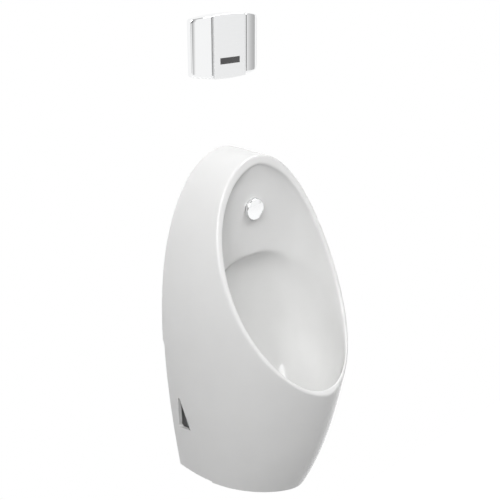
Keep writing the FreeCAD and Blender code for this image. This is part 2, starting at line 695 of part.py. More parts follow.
def trap_inlet_nut():
    """A screwed ring that presses the seal on to the tail."""
    outer, low, high = SOCKET_OUTER / 2 + 5, TRAP_TOP + 1, TRAP_TOP + 10 + 2.5 + 3
    nut = rod(outer, drain(low), drain(high))
    grips = [rod(2, (outer * math.cos(a), outer * math.sin(a) - DRAIN_DEPTH, low),
                 (outer * math.cos(a), outer * math.sin(a) - DRAIN_DEPTH, high))
             for a in steps(0, 2 * math.pi * 11 / 12, 12)]
    return nut.cut([rod(SOCKET_OUTER / 2 + FIT, drain(low), drain(high - 3)),
                    rod(TAIL_OUTER / 2 + FIT, drain(low), drain(high))] + grips)


def trap_cup():
    """The lower half: a cup screwed over the body's open end."""
    outer, inner = TRAP_OUTER / 2 + FIT + CUP_WALL, TRAP_OUTER / 2 + FIT
    ledge = TRAP_BOTTOM - GASKET
    cup = rod(outer, drain(CUP_BOTTOM), drain(TRAP_BOTTOM + CUP_OVERLAP))
    grips = [rod(2, (outer * math.cos(a), outer * math.sin(a) - DRAIN_DEPTH, CUP_BOTTOM),
                 (outer * math.cos(a), outer * math.sin(a) - DRAIN_DEPTH, TRAP_BOTTOM + CUP_OVERLAP))
             for a in steps(0, 2 * math.pi * 17 / 18, 18)]
    return cup.cut([rod(inner, drain(ledge), drain(2 * TRAP_TOP)),
                    rod(inner - CUP_WALL, drain(CUP_BOTTOM + CUP_WALL), drain(ledge + 1))] + grips)


def trap_cup_seal():
    base = TRAP_BOTTOM - GASKET
    return ring(TRAP_OUTER / 2 - FIT, TRAP_OUTER / 2 - CUP_WALL, drain(base), drain(TRAP_BOTTOM))


def outlet(y):
    return (0, y, OUTLET_HEIGHT)


def outlet_mouth():
    return -DRAIN_DEPTH + TRAP_OUTER / 2 + 20


def outlet_pipe():
    """A straight pipe with a low bead at the wall face, where the drain's socket stops."""
    start, end = outlet_mouth() - 16, OUTLET_INTO_WALL
    tube = rod(OUTLET_PIPE / 2, outlet(start), outlet(end))
    bead = rod(OUTLET_PIPE / 2 + 1, outlet(0), outlet(OUTLET_BEAD))
    bore = rod(OUTLET_PIPE / 2 - OUTLET_PIPE_WALL, outlet(start), outlet(end))
    return tube.fuse(bead).cut(bore).removeSplitter()


def outlet_seal():
    mouth = outlet_mouth()
    return ring(OUTLET_SOCKET / 2, OUTLET_PIPE / 2 + FIT, outlet(mouth), outlet(mouth + 2.5))


def outlet_nut():
    mouth, outer = outlet_mouth(), OUTLET_SOCKET / 2 + 4
    nut = rod(outer, outlet(mouth - 12), outlet(mouth + 5.5))
    return nut.cut([rod(OUTLET_SOCKET / 2 + FIT, outlet(mouth - 12), outlet(mouth + 2.5)),
                    rod(OUTLET_PIPE / 2 + FIT, outlet(mouth), outlet(mouth + 6))])


def outlet_rosette():
    """The collar that closes the gap round the outlet pipe on the wall."""
    return ring(OUTLET_PIPE / 2 + 14, OUTLET_PIPE / 2 + FIT, outlet(-5), outlet(0))


# ---- flush plate --------------------------------------------------------------------------------
def arc(a, middle, b):
    return Part.Arc(Vector(*a), Vector(*middle), Vector(*b)).toShape()


def plate_outline(inset, y0, y1):
    """The plate seen from the front, brought in all round and carried from y0 to y1."""
    half, end, middle = PLATE_WIDTH / 2 - inset, PLATE_END / 2 - inset, PLATE_TALL / 2 - inset
    z = PLATE_HEIGHT
    edges = [arc((-half, y0, z + end), (0, y0, z + middle), (half, y0, z + end)),
             line((half, y0, z + end), (half, y0, z - end)),
             arc((half, y0, z - end), (0, y0, z - middle), (-half, y0, z - end)),
             line((-half, y0, z - end), (-half, y0, z + end))]
    return flat(edges).extrude(Vector(0, y1 - y0, 0))


def panel_back():
    """Wall to the flat that the centre panel lies on."""
    return PLATE_FACE - PANEL_THICK


def plate_section(inset):
    """The plate seen from above: a flat middle and two wings that curve back to the wall."""
    half, flat_half = PLATE_WIDTH / 2 - inset, PANEL_WIDTH / 2 + GROOVE
    front, edge = -(panel_back() - inset), -(PLATE_EDGE - inset)
    bulge = ((half + flat_half) / 2, (front + edge) / 2 - 2.4)
    z = PLATE_HEIGHT - PLATE_TALL
    edges = [line((-flat_half, front, z), (flat_half, front, z)),
             arc((flat_half, front, z), (bulge[0], bulge[1], z), (half, edge, z)),
             line((half, edge, z), (half, 0, z)), line((half, 0, z), (-half, 0, z)),
             line((-half, 0, z), (-half, edge, z)),
             arc((-half, edge, z), (-bulge[0], bulge[1], z), (-flat_half, front, z))]
    return flat(edges).extrude(Vector(0, 0, 2 * PLATE_TALL))


def window_height():
    return PLATE_HEIGHT - WINDOW_DROP


def window_block(grow, y0, y1):
    half, tall = WINDOW_SIZE[0] / 2 + grow, WINDOW_SIZE[1] / 2 + grow
    return block(-half, half, y0, y1, window_height() - tall, window_height() + tall)


def cover_shell():
    outside = plate_section(0).common(plate_outline(0, -PLATE_FACE, 0))
    inside = plate_section(COVER_WALL).common(plate_outline(COVER_WALL, -PLATE_FACE, 0))
    return outside.cut(inside).cut(window_block(WINDOW_GAP, -PLATE_FACE, 0)).removeSplitter()


def centre_panel():
    half = PANEL_WIDTH / 2
    strip = block(-half, half, -PLATE_FACE, -panel_back(), 0, 2 * PLATE_HEIGHT)
    panel = plate_outline(0, -PLATE_FACE, 0).common(strip)
    front = [e for e in panel.Edges if e.BoundBox.YMax < -PLATE_FACE + 0.1]
    return panel.makeFillet(1.2, front).cut(window_block(WINDOW_GAP, -PLATE_FACE, 0))


def sensor_window():
    inner = -(panel_back() - COVER_WALL)
    lens = window_block(0, -PLATE_FACE + 0.4, inner)
    return lens.fuse(window_block(WINDOW_FLANGE, inner, inner + 1)).removeSplitter()


def frame_outline():
    return COVER_WALL + FRAME_GAP


def box_posts():
    across, tall = BOX_SIZE[0] / 2 - BOX_WALL - SCREW_LUG / 2, BOX_SIZE[1] / 2 - BOX_WALL - SCREW_LUG / 2
    return [(x * across, PLATE_HEIGHT + z * tall) for x in LEFT_RIGHT for z in LEFT_RIGHT]


def module_front():
    return panel_back() - COVER_WALL - 1 - 0.5


def mount_frame():
    """The plastic frame on the wall that the cover pushes on to."""
    plate = plate_outline(frame_outline(), -FRAME_THICK, 0)
    half, tall = BOX_SIZE[0] / 2 - BOX_WALL - SCREW_LUG - 2, BOX_SIZE[1] / 2 - BOX_WALL - SCREW_LUG - 2
    opening = block(-half, half, -FRAME_THICK, 0, window_height() + MODULE_SIZE[1] / 2 + 6,
                    PLATE_HEIGHT + tall)
    lower = block(-half, half, -FRAME_THICK, 0, PLATE_HEIGHT - tall,
                  window_height() - MODULE_SIZE[1] / 2 - 3) if tall > MODULE_SIZE[1] + WINDOW_DROP else None
    holes = [rod(SCREW / 2 + FIT, (x, -FRAME_THICK, z), (x, 0, z)) for x, z in box_posts()]
    cable = block(-8, 8, -FRAME_THICK, 0, window_height() - 5, window_height() + 5)
    return plate.cut([opening, cable] + holes + ([lower] if lower else []))


def frame_screws():
    screws = []
    for x, z in box_posts():
        shank = rod(SCREW / 2, (x, -FRAME_THICK, z), (x, 14, z))
        head = rod(SCREW, (x, -FRAME_THICK - 2.4, z), (x, -FRAME_THICK, z))
        slot = block(x - SCREW, x + SCREW, -FRAME_THICK - 2.4, -FRAME_THICK - 1.2, z - 0.5, z + 0.5)
        screws.append(head.fuse(shank).cut(slot).removeSplitter())
    return Part.makeCompound(screws)


def sensor_module():
    half, tall = MODULE_SIZE[0] / 2, MODULE_SIZE[1] / 2
    y0, z = -module_front(), window_height()
    case = block(-half, half, y0, -FRAME_THICK, z - tall, z + tall)
    case = case.makeFillet(2, [e for e in case.Edges if abs(e.tangentAt(e.FirstParameter).y) > 0.9])
    eyes = [rod(4 + FIT, (x * 13, y0, z), (x * 13, y0 + 4, z)) for x in LEFT_RIGHT]
    return case.cut(eyes)


def sensor_eyes():
    y0, z = -module_front(), window_height()
    return Part.makeCompound([rod(4, (x * 13, y0, z), (x * 13, y0 + 4, z)) for x in LEFT_RIGHT])


# ---- box in the wall ----------------------------------------------------------------------------
def flush_box():
    wide, tall, deep = BOX_SIZE
    low, high = box_floor(), box_top()
    box = block(-wide / 2, wide / 2, 0, deep, low, high)
    inside = block(BOX_WALL - wide / 2, wide / 2 - BOX_WALL, 0, deep - BOX_WALL, low + BOX_WALL,
                   high - BOX_WALL)
    posts = [block(x - SCREW_LUG / 2, x + SCREW_LUG / 2, 0, SCREW_LUG_DEEP, z - SCREW_LUG / 2,
                   z + SCREW_LUG / 2) for x, z in box_posts()]
    holes = [rod(SCREW / 2 + FIT, (x, 0, z), (x, 16, z)) for x, z in box_posts()]
    ports = [rod(SPIGOT / 2 + FIT, (0, VALVE_DEPTH, low), (0, VALVE_DEPTH, low + BOX_WALL)),
             rod(SUPPLY_THREAD / 2 + FIT, (-SUPPLY_OFFSET, VALVE_DEPTH, high - BOX_WALL),
                 (-SUPPLY_OFFSET, VALVE_DEPTH, high))]
    return box.cut(inside).fuse(posts).cut(holes + ports).removeSplitter()


def valve(z, x=0.0):
    return (x, VALVE_DEPTH, z)


def valve_body():
    """Supply leg with its stop, cross passage, and the chamber with its raised seat."""
    floor, supply = chamber_floor(), -SUPPLY_OFFSET
    bottom = floor - VALVE_WALL
    chamber = rod(CHAMBER_OUTER / 2, valve(bottom), valve(floor + CHAMBER_TALL))
    spigot = rod(SPIGOT / 2, valve(flush_pipe_top() + 0.5), valve(bottom))
    cross_height = floor + CROSS_RISE
    cross = rod(CROSS_OUTER / 2, valve(cross_height, supply), valve(cross_height))
    leg = rod(LEG_OUTER / 2, valve(cross_height - CROSS_OUTER / 2, supply), valve(nipple_base(), supply))
    boss = rod(STOP_BOSS / 2, (supply, VALVE_DEPTH - 24, STOP_HEIGHT),
               (supply, VALVE_DEPTH + 12, STOP_HEIGHT))
    hollow = [rod(CHAMBER_BORE / 2, valve(floor), valve(floor + CHAMBER_TALL)),
              rod(CROSS_BORE / 2, valve(cross_height, supply), valve(cross_height))]
    seat = rod(SEAT_OUTER / 2, valve(floor - 1), valve(floor + SEAT_RISE))
    ways = [rod(SEAT_BORE / 2, valve(flush_pipe_top()), valve(floor + SEAT_RISE)),
            rod(SUPPLY_BORE / 2, valve(cross_height - 3, supply), valve(nipple_base(), supply)),
            rod(STOP_PLUG / 2 + RUNNING, (supply, VALVE_DEPTH - 24, STOP_HEIGHT),
                (supply, VALVE_DEPTH + 9, STOP_HEIGHT))]
    body = chamber.fuse([spigot, cross, leg, boss]).cut(hollow).fuse(seat)
    return body.cut(ways).removeSplitter()


def nipple_base():
    return box_top() - BOX_WALL - 8


def main_piston():
    base = chamber_floor() + SEAT_RISE
    disc = rod(CHAMBER_BORE / 2 - RUNNING, valve(base), valve(base + PISTON_THICK))
    return disc.cut(rod(1.5, valve(base, 14), valve(base + PISTON_THICK, 14)))


def bonnet_base():
    return chamber_floor() + CHAMBER_TALL


def valve_bonnet():
    """The chamber's lid, with the closed tube that the plunger slides in."""
    base = bonnet_base()
    lid = rod(CHAMBER_OUTER / 2, valve(base), valve(base + BONNET))
    tube = rod(ARMATURE_OUTER / 2, valve(base + BONNET), valve(base + BONNET + ARMATURE_TALL))
    bore = rod(PLUNGER / 2 + RUNNING, valve(base + 2), valve(base + BONNET + ARMATURE_TALL - 1.5))
    return lid.fuse(tube).cut([bore, rod(1.2, valve(base), valve(base + 2))]).removeSplitter()


def solenoid_plunger():
    base = bonnet_base() + 2
    return rod(PLUNGER / 2, valve(base), valve(base + PLUNGER_TALL))


def spring_low():
    return bonnet_base() + 2 + PLUNGER_TALL


def spring_high():
    return bonnet_base() + BONNET + ARMATURE_TALL - 1.5


def plunger_spring():
    return ring(PLUNGER / 2 - 0.6, PLUNGER / 2 - 1.6, valve(spring_low()), valve(spring_high()))


def solenoid_coil():
    base, half = bonnet_base() + BONNET, COIL / 2
    case = block(-half, half, VALVE_DEPTH - half, VALVE_DEPTH + half, base, base + COIL_TALL)
    case = case.makeFillet(3, [e for e in case.Edges if abs(e.tangentAt(e.FirstParameter).z) > 0.9])
    return case.cut(rod(ARMATURE_OUTER / 2 + FIT, valve(base), valve(base + COIL_TALL)))


def stop_spindle():
    """A plug with a cross hole, turned a quarter turn by its slotted head."""
    x, z = -SUPPLY_OFFSET, STOP_HEIGHT
    plug = rod(STOP_PLUG / 2, (x, VALVE_DEPTH - 26, z), (x, VALVE_DEPTH + 8.5, z))
    way = rod(SUPPLY_BORE / 2 - 1.5, (x, VALVE_DEPTH, z - STOP_PLUG), (x, VALVE_DEPTH, z + STOP_PLUG))
    slot = block(x - 0.8, x + 0.8, VALVE_DEPTH - 26, VALVE_DEPTH - 23, z - STOP_PLUG, z + STOP_PLUG)
    groove = ring(STOP_PLUG, STOP_PLUG / 2 - 1.5, (x, VALVE_DEPTH - 18, z), (x, VALVE_DEPTH - 16, z))
    return plug.cut([way, slot, groove])


def stop_seal():
    x, z = -SUPPLY_OFFSET, STOP_HEIGHT
    return ring(STOP_PLUG / 2, STOP_PLUG / 2 - 1.5, (x, VALVE_DEPTH - 18, z), (x, VALVE_DEPTH - 16, z))


def supply_nipple():
    x, base = -SUPPLY_OFFSET, nipple_base()
    top = box_top() + SUPPLY_COLLAR + SUPPLY_RISE
    tube = rod(SUPPLY_THREAD / 2, valve(base, x), valve(top, x))
    collar = hexagon(SUPPLY_THREAD + 6, valve(box_top(), x), valve(box_top() + SUPPLY_COLLAR, x))
    return tube.fuse(collar).cut(rod(SUPPLY_BORE / 2, valve(base, x), valve(top, x))).removeSplitter()


def filter_screen():
    """A small sieve cup hung in the supply leg."""
    x, top = -SUPPLY_OFFSET, nipple_base()
    rim = SUPPLY_BORE / 2 - FIT
    cup = rod(rim, valve(top + 4, x), valve(top + 16, x))
    cup = cup.cut(rod(rim - 1, valve(top + 5, x), valve(top + 16, x)))
    slots = [block(x - 20, x + 20, VALVE_DEPTH - 1, VALVE_DEPTH + 1, top + 6, top + 14),
             block(x - 1, x + 1, VALVE_DEPTH - 20, VALVE_DEPTH + 20, top + 6, top + 14)]
    return cup.cut(slots)


def union_nut():
    low, high = box_floor() - UNION_TALL, box_floor() - 0.5
    middle = flush_pipe_top()
    nut = hexagon(UNION_OUTER, valve(low), valve(high))
    return nut.cut([rod(FLUSH_PIPE / 2 + FIT, valve(low), valve(middle)),
                    rod(SPIGOT / 2 + FIT, valve(middle), valve(high))])


# ---- power --------------------------------------------------------------------------------------
def cell_places():
    half = CELL_PITCH + CELL_ROOM + CELL_CASE_WALL
    x = BOX_SIZE[0] / 2 - BOX_WALL - half
    y = BOX_SIZE[2] - BOX_WALL - half
    return x, y, [(x + i * CELL_PITCH / 2, y + j * CELL_PITCH / 2) for i in LEFT_RIGHT for j in LEFT_RIGHT]


def case_low():
    return box_floor() + BOX_WALL


def battery_case():
    x, y, _ = cell_places()
    inner = CELL_PITCH + CELL_ROOM
    outer = inner + CELL_CASE_WALL
    low = case_low()
    top = low + 2 * CELL_CASE_WALL + CELL[1] + 1
    case = block(x - outer, x + outer, y - inner, y + outer, low, top)
    return case.cut(block(x - inner, x + inner, y - inner, y + inner, low + CELL_CASE_WALL,
                          top - CELL_CASE_WALL))


def battery_lid():
    x, y, _ = cell_places()
    inner = CELL_PITCH + CELL_ROOM
    outer = inner + CELL_CASE_WALL
    low = case_low()
    top = low + 2 * CELL_CASE_WALL + CELL[1] + 1
    return block(x - outer, x + outer, y - inner - CELL_CASE_WALL, y - inner, low, top)


def batteries():
    _, _, places = cell_places()
    low = case_low() + CELL_CASE_WALL
    cells = []
    for x, y in places:
        can = rod(CELL[0] / 2, (x, y, low), (x, y, low + CELL[1] - 1.2))
        cells.append(can.fuse(rod(2.7, (x, y, low), (x, y, low + CELL[1]))).removeSplitter())
    return Part.makeCompound(cells)


# ---- writing ------------------------------------------------------------------------------------
def write(name, shape):
    shape = shape.copy()
    shape.translate(Vector(0, 0, -HANGER_HEIGHT))
    solids = shape.Solids
    shape = solids[0] if len(solids) == 1 else Part.makeCompound(solids)
    shape.exportStep("parts/%s.step" % name)
    print(name, len(solids), round(shape.Volume / 1000, 2), "cc", shape.isValid())


def pair(maker):
    return Part.makeCompound([maker(side) for side in LEFT_RIGHT])


os.makedirs("parts", exist_ok=True)
write("ceramic_body", ceramic_body())
write("hanger_bracket_left", hanger_bracket(-1))
write("hanger_bracket_right", hanger_bracket(1))
write("lower_bracket_left", lower_bracket(-1))
write("lower_bracket_right", lower_bracket(1))
write("clamp_bolts", pair(clamp_bolt))
write("clamp_feet", pair(clamp_foot))
write("spreader_body", spreader_body())
write("spreader_cap", spreader_cap())
write("spreader_front_gasket", spud_gasket(SPUD_FLANGE, spud_front(), spud_seat()))
write("spreader_back_gasket", spud_gasket(SPUD_OUTER + 13, spud_back(), spud_back() - GASKET))
write("spreader_nut", spreader_nut())
write("inlet_seal", inlet_seal())
write("flush_pipe", flush_pipe())
write("waste_flange", waste_flange())
write("strainer", strainer())
write("waste_top_gasket", waste_gasket(SEAT_HEIGHT))
write("waste_bottom_gasket", waste_gasket(floor_underside() - GASKET))
write("waste_nut", waste_nut())
write("trap_body", trap_body())
write("trap_inlet_seal", trap_inlet_seal())
write("trap_inlet_nut", trap_inlet_nut())
write("trap_cup", trap_cup())
write("trap_cup_seal", trap_cup_seal())
write("outlet_pipe", outlet_pipe())
write("outlet_seal", outlet_seal())
write("outlet_nut", outlet_nut())
write("outlet_rosette", outlet_rosette())
write("cover_shell", cover_shell())
write("centre_panel", centre_panel())
write("sensor_window", sensor_window())
write("mount_frame", mount_frame())
write("frame_screws", frame_screws())
write("sensor_module", sensor_module())
write("sensor_eyes", sensor_eyes())
write("flush_box", flush_box())
write("valve_body", valve_body())
write("main_piston", main_piston())
write("valve_bonnet", valve_bonnet())
write("solenoid_plunger", solenoid_plunger())
write("plunger_spring", plunger_spring())
write("solenoid_coil", solenoid_coil())
write("stop_spindle", stop_spindle())
write("stop_seal", stop_seal())
write("supply_nipple", supply_nipple())
write("filter_screen", filter_screen())
write("union_nut", union_nut())
write("battery_case", battery_case())
write("battery_lid", battery_lid())
write("batteries", batteries())
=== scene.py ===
# %% [markdown]
# # A wall hung urinal with its flush plate
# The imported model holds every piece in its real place. This lesson gives it its looks: the glazed
# body, the chromed outlet cap and the flush plate are modelled again with soft edges, and every
# other piece keeps its solid and gets a finish. Sizes are in millimetres above the body's
# underside, as a fitter would measure them, and `place` turns them into the frame's metres.

# %% Load the frame
import json
import math

import bmesh
import bpy
import numpy as np
from mathutils import Matrix, Vector


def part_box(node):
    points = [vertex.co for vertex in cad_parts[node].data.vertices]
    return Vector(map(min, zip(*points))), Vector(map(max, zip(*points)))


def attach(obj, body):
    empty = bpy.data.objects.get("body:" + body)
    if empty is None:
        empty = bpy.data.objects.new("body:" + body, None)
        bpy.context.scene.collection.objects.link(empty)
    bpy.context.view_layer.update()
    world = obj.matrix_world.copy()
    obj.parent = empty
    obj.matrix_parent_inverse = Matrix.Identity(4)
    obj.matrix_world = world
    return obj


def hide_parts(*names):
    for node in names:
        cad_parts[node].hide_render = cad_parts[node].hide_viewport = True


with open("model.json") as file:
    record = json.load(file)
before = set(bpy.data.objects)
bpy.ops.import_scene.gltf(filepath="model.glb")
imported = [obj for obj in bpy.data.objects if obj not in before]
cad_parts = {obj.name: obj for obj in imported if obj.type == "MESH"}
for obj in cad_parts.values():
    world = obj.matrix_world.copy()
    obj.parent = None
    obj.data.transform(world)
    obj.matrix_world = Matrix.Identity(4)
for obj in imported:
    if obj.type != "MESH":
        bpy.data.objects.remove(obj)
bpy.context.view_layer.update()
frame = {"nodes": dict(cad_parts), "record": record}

# %% The frame's origin and a way to use it
HANGER_HEIGHT = 587.0          # the frame's origin is between the two hanger fixings, on the wall
MM = 0.001


def place(x, y, z):
    """A point in millimetres above the body's underside, as a point of the frame."""
    return Vector((x * MM, y * MM, (z - HANGER_HEIGHT) * MM))


print("the body's underside is at", round(place(0, 0, 0).z, 3), "m")

# %% [markdown]
# ## Shader maths as Python
# A finish is a small network of nodes. Wiring it by hand hides what it says, so one class wraps a
# socket and lets it be added, multiplied and subtracted like a number. Another holds a network and
# makes any other node from its type, its settings and its values, for a material as for the room.

# %% A socket that can be calculated with
class Value:
    def __init__(self, network, socket):
        self.network, self.socket = network, socket

    def math(self, operation, *others):
        return self.network.node("ShaderNodeMath", {"operation": operation},
                                 dict(enumerate((self,) + others)))

    def __add__(self, other):
        return self.math("ADD", other)

    def __mul__(self, other):
        return self.math("MULTIPLY", other)

    def __sub__(self, other):
        return self.math("SUBTRACT", other)

    def __rsub__(self, other):
        return self.network.node("ShaderNodeMath", {"operation": "SUBTRACT"}, {0: other, 1: self})

    __radd__, __rmul__ = __add__, __mul__


# %% A network that grows node by node
class Network:
    """Shader nodes: what varies is made with node(), what is constant is set on the shader."""

    def __init__(self, tree, shader):
        self.tree, self.shader = tree, tree.nodes[shader]

    def put(self, socket, value):
        if isinstance(value, Value):
            self.tree.links.new(value.socket, socket)
        else:
            socket.default_value = value

    def set(self, **values):
        for name, value in values.items():
            self.put(self.shader.inputs[name.replace("_", " ")], value)

    def node(self, kind, settings=None, values=None, output=0):
        made = self.tree.nodes.new(kind)
        for name, value in (settings or {}).items():
            setattr(made, name, value)
        for name, value in (values or {}).items():
            self.put(made.inputs[name], value)
        return Value(self, made.outputs[output])


# %% A material with the patterns that the finishes share
class Finish(Network):
    def __init__(self, name, **constants):
        self.material = bpy.data.materials.new(name)
        self.material.use_nodes = True
        super().__init__(self.material.node_tree, "Principled BSDF")
        self.point = self.node("ShaderNodeTexCoord", output="Object")
        self.set(**constants)

    def noise(self, size, detail=2.0, stretch=(1, 1, 1)):
        """Soft random values about 0.5, `size` millimetres from one to the next."""
        turned = self.node("ShaderNodeMapping", values={"Vector": self.point, "Scale": stretch})
        return self.node("ShaderNodeTexNoise",
                         values={"Vector": turned, "Scale": 1 / (size * MM), "Detail": detail})

    def blend(self, factor, low, high):
        """A colour between two others."""
        return self.node("ShaderNodeMix", {"data_type": "RGBA"},
                         {0: factor, 6: low, 7: high}, output=2)

    def bump(self, height, depth):
        """A surface that rises by `depth` millimetres where `height` is 1."""
        self.set(Normal=self.node("ShaderNodeBump", values={
            "Height": height, "Distance": depth * MM, "Strength": 1.0}))
        return self

    def surface(self, shader):
        """Show another shader than the Principled one."""
        self.put(self.tree.nodes["Material Output"].inputs["Surface"], shader)


def grey(level):
    return (level, level, level, 1)


def paint(colour, share=1.0):
    """A colour with each part taken down to a share."""
    return tuple(share * c for c in colour) + (1,)


# %% [markdown]
# ## The finishes
# Each slot of the part's record is one real finish. Fired glaze is a smooth glass layer with the
# faint waviness of a dipped and fired piece. Metals differ in colour and in how the light spreads
# over them: plating is a mirror, brushed sheet has fine level lines, and cast or galvanised pieces
# are broken up. Plastics and rubber are duller and have a fine grain.

# %% Glaze and metals
def vitreous_china():
    glaze = Finish("vitreous_china", IOR=1.5, Coat_Roughness=0.03)
    wave = glaze.noise(60, 1)
    glaze.set(Base_Color=glaze.blend(wave, paint((0.83, 0.83, 0.825)), paint((0.86, 0.86, 0.855))),
              Roughness=glaze.noise(25) * 0.05 + 0.05)
    return glaze.bump(glaze.noise(14, 1), 0.02)


def metal(name, colour, rough, spread, size, stretch=(1, 1, 1), depth=0.0, darker=0.86):
    """A metal whose colour and gloss wander a little over a pattern of one size."""
    made = Finish(name, Metallic=1.0)
    pattern = made.noise(size, 3, stretch)
    made.set(Base_Color=made.blend(pattern, paint(colour, darker), paint(colour)),
             Roughness=pattern * spread + (rough - spread / 2))
    return made.bump(pattern, depth) if depth else made


def zinc_plate():
    return metal("zinc_plate", (0.66, 0.68, 0.70), rough=0.38, spread=0.3, size=6, depth=0.02)


def bright_steel():
    return metal("bright_steel", (0.70, 0.70, 0.72), rough=0.26, spread=0.16, size=2,
                 stretch=(1, 1, 0.2), depth=0.01)


def turned_brass():
    return metal("turned_brass", (0.83, 0.63, 0.32), rough=0.26, spread=0.2, size=2,
                 stretch=(0.15, 1, 1), depth=0.01)


def chrome_plate():
    return metal("chrome_plate", (0.92, 0.925, 0.93), rough=0.05, spread=0.04, size=40,
                 darker=0.98)


def brushed_panel():
    return metal("brushed_panel", (0.88, 0.885, 0.89), rough=0.3, spread=0.1, size=1.2,
                 stretch=(0.05, 1, 1), depth=0.001, darker=0.95)


def stainless():
    return metal("stainless", (0.72, 0.72, 0.72), rough=0.2, spread=0.14, size=3,
                 stretch=(1, 0.1, 1), depth=0.008)


# %% Rubber and plastics
GRAIN_SPREAD, MOTTLE_SIZE, MOTTLE_DARK = 0.2, 30, 0.9


def moulded(name, colour, rough, grain, depth, **constants):
    """A moulded piece: a fine grain in its gloss and surface, and a faint mottle."""
    made = Finish(name, **constants)
    fine, mottle = made.noise(grain, 3), made.noise(MOTTLE_SIZE, 2)
    made.set(Base_Color=made.blend(mottle, paint(colour, MOTTLE_DARK), paint(colour)),
             Roughness=fine * GRAIN_SPREAD + (rough - GRAIN_SPREAD / 2))
    return made.bump(fine, depth)


def black_rubber():
    return moulded("black_rubber", (0.022, 0.022, 0.023), rough=0.68, grain=0.8, depth=0.02)


def white_plastic():
    return moulded("white_plastic", (0.80, 0.80, 0.78), rough=0.36, grain=0.9, depth=0.008)


def grey_plastic():
    return moulded("grey_plastic", (0.33, 0.34, 0.35), rough=0.48, grain=0.8, depth=0.015)


def black_plastic():
    return moulded("black_plastic", (0.03, 0.03, 0.032), rough=0.42, grain=0.8, depth=0.015)


def box_plastic():
    return moulded("box_plastic", (0.52, 0.55, 0.57), rough=0.45, grain=0.9, depth=0.02)


def cell_jacket():
    return moulded("cell_jacket", (0.10, 0.16, 0.13), rough=0.3, grain=1.5, depth=0.004,
                   Metallic=0.3)


def smoked_window():
    return moulded("smoked_window", (0.012, 0.011, 0.013), rough=0.16, grain=12, depth=0.0005,
                   Coat_Weight=1.0, Coat_Roughness=0.03)


def sensor_lens():
    return moulded("sensor_lens", (0.07, 0.012, 0.018), rough=0.16, grain=12, depth=0.0005,
                   Coat_Weight=1.0)


finishes = {make.__name__: make().material for make in (
    vitreous_china, zinc_plate, bright_steel, turned_brass, chrome_plate, brushed_panel, stainless,
    black_rubber, white_plastic, grey_plastic, black_plastic, box_plastic, cell_jacket,
    smoked_window, sensor_lens)}
print("finishes", sorted(finishes))

# %% Every solid that stays gets its slot's finish
for entry in frame["record"]["subparts"]:
    mesh = frame["nodes"][entry["node"]].data
    mesh.materials.clear()
    mesh.materials.append(finishes[entry["material_slot"]])

# %% [markdown]
# ## Turning a bmesh into a piece
# A piece's object sits at the origin with its place in its mesh, as the solids do. Doubles are
# merged and the normals turned outwards before the mesh is handed over. Smooth shading is kept
# from crossing real edges by marking those sharper than a set angle.

# %% Steps that many pieces share
NEAR = 2e-6                    # metres: corners this near are made one
SHORT = 1e-7                   # metres: edges this short are taken out


def merge(bm):
    bmesh.ops.remove_doubles(bm, verts=bm.verts, dist=NEAR)


def face_outwards(bm):
    bmesh.ops.recalc_face_normals(bm, faces=bm.faces)


def everything(bm):
    return bm.verts[:] + bm.edges[:] + bm.faces[:]


def open_edges(bm):
    """The edges that have a face on one side only."""
    return [e for e in bm.edges if e.is_boundary]


def as_mesh(name, bm):
    """The bmesh's mesh. The bmesh itself is used up."""
    mesh = bpy.data.meshes.new(name)
    bm.to_mesh(mesh)
    bm.free()
    return mesh


def in_scene(name, data):
    """A new object at the origin."""
    made = bpy.data.objects.new(name, data)
    bpy.context.scene.collection.objects.link(made)
    return made


# %% Finish a piece, and lay a grid
def piece(name, bm, slot, replaces, body="fixed", sharp=35):
    """A visible piece, with every edge that turns by more than `sharp` degrees kept crisp."""
    merge(bm)
    bmesh.ops.dissolve_degenerate(bm, edges=bm.edges, dist=SHORT)
    face_outwards(bm)
    odd = [sum(1 for e in bm.edges if len(e.link_faces) == n) for n in (0, 1, 3, 4)]
    mesh = as_mesh(name, bm)
    mesh.shade_smooth()
    mesh.set_sharp_from_angle(angle=math.radians(sharp))
    mesh.materials.append(finishes[slot])
    made = in_scene(name, mesh)
    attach(made, body)
    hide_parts(*replaces)
    triangles = sum(len(p.vertices) - 2 for p in mesh.polygons)
    print(name, "triangles", triangles, "edges with 0, 1, 3 and 4 faces", odd)


def sheet(bm, spots):
    """A grid of faces whose corners lie at spots[row][column], in millimetres."""
    rows, columns = len(spots) - 1, len(spots[0]) - 1
    grid = bmesh.ops.create_grid(bm, x_segments=columns, y_segments=rows, size=1)
    for v in grid["verts"]:
        column, row = round((v.co.x + 1) / 2 * columns), round((v.co.y + 1) / 2 * rows)
        v.co = place(*spots[row][column])


# %% [markdown]
# ## The glazed body: its outer form
# A vitreous china body is cast in one piece, about ten millimetres thick, and hollow behind. Its
# outer form is a graph: at a height and a distance from the wall there is one half width. So the
# skin can be a single grid, bent to that rule. The grid's rows run from the wall and the underside
# to the rim, so that they meet the rim squarely and its edge can be rolled over evenly.

# %% Sizes of the outer form
BODY_HEIGHT, WIDEST_HEIGHT, LIP_HEIGHT = 720.0, 368.0, 268.0
FOOT_HALF, WIDEST_HALF, SHOULDER_HALF = 140.0, 178.0, 174.5    # half widths, from the foot up
FOOT_DEPTH, LIP_DEPTH = 241.0, 328.7   # wall to the nose's line, at the foot and at the lip
MID_DEPTH, CROWN_DEPTH = 381.0, 500.0  # and above the lip, where the rim cuts that line off
CROWN_POWER, SIDE_FULLNESS = 4.46, 2.65
FOOT_ROUND, CROWN_ROUND = 1.47, 1.97   # how full the nose is, seen from above
NOSE_RADIUS = 18.0
RIM_TOP_DEPTH, RIM_SAG = 105.2, 38.1
LEAST = 1e-3                   # a smaller width counts as none


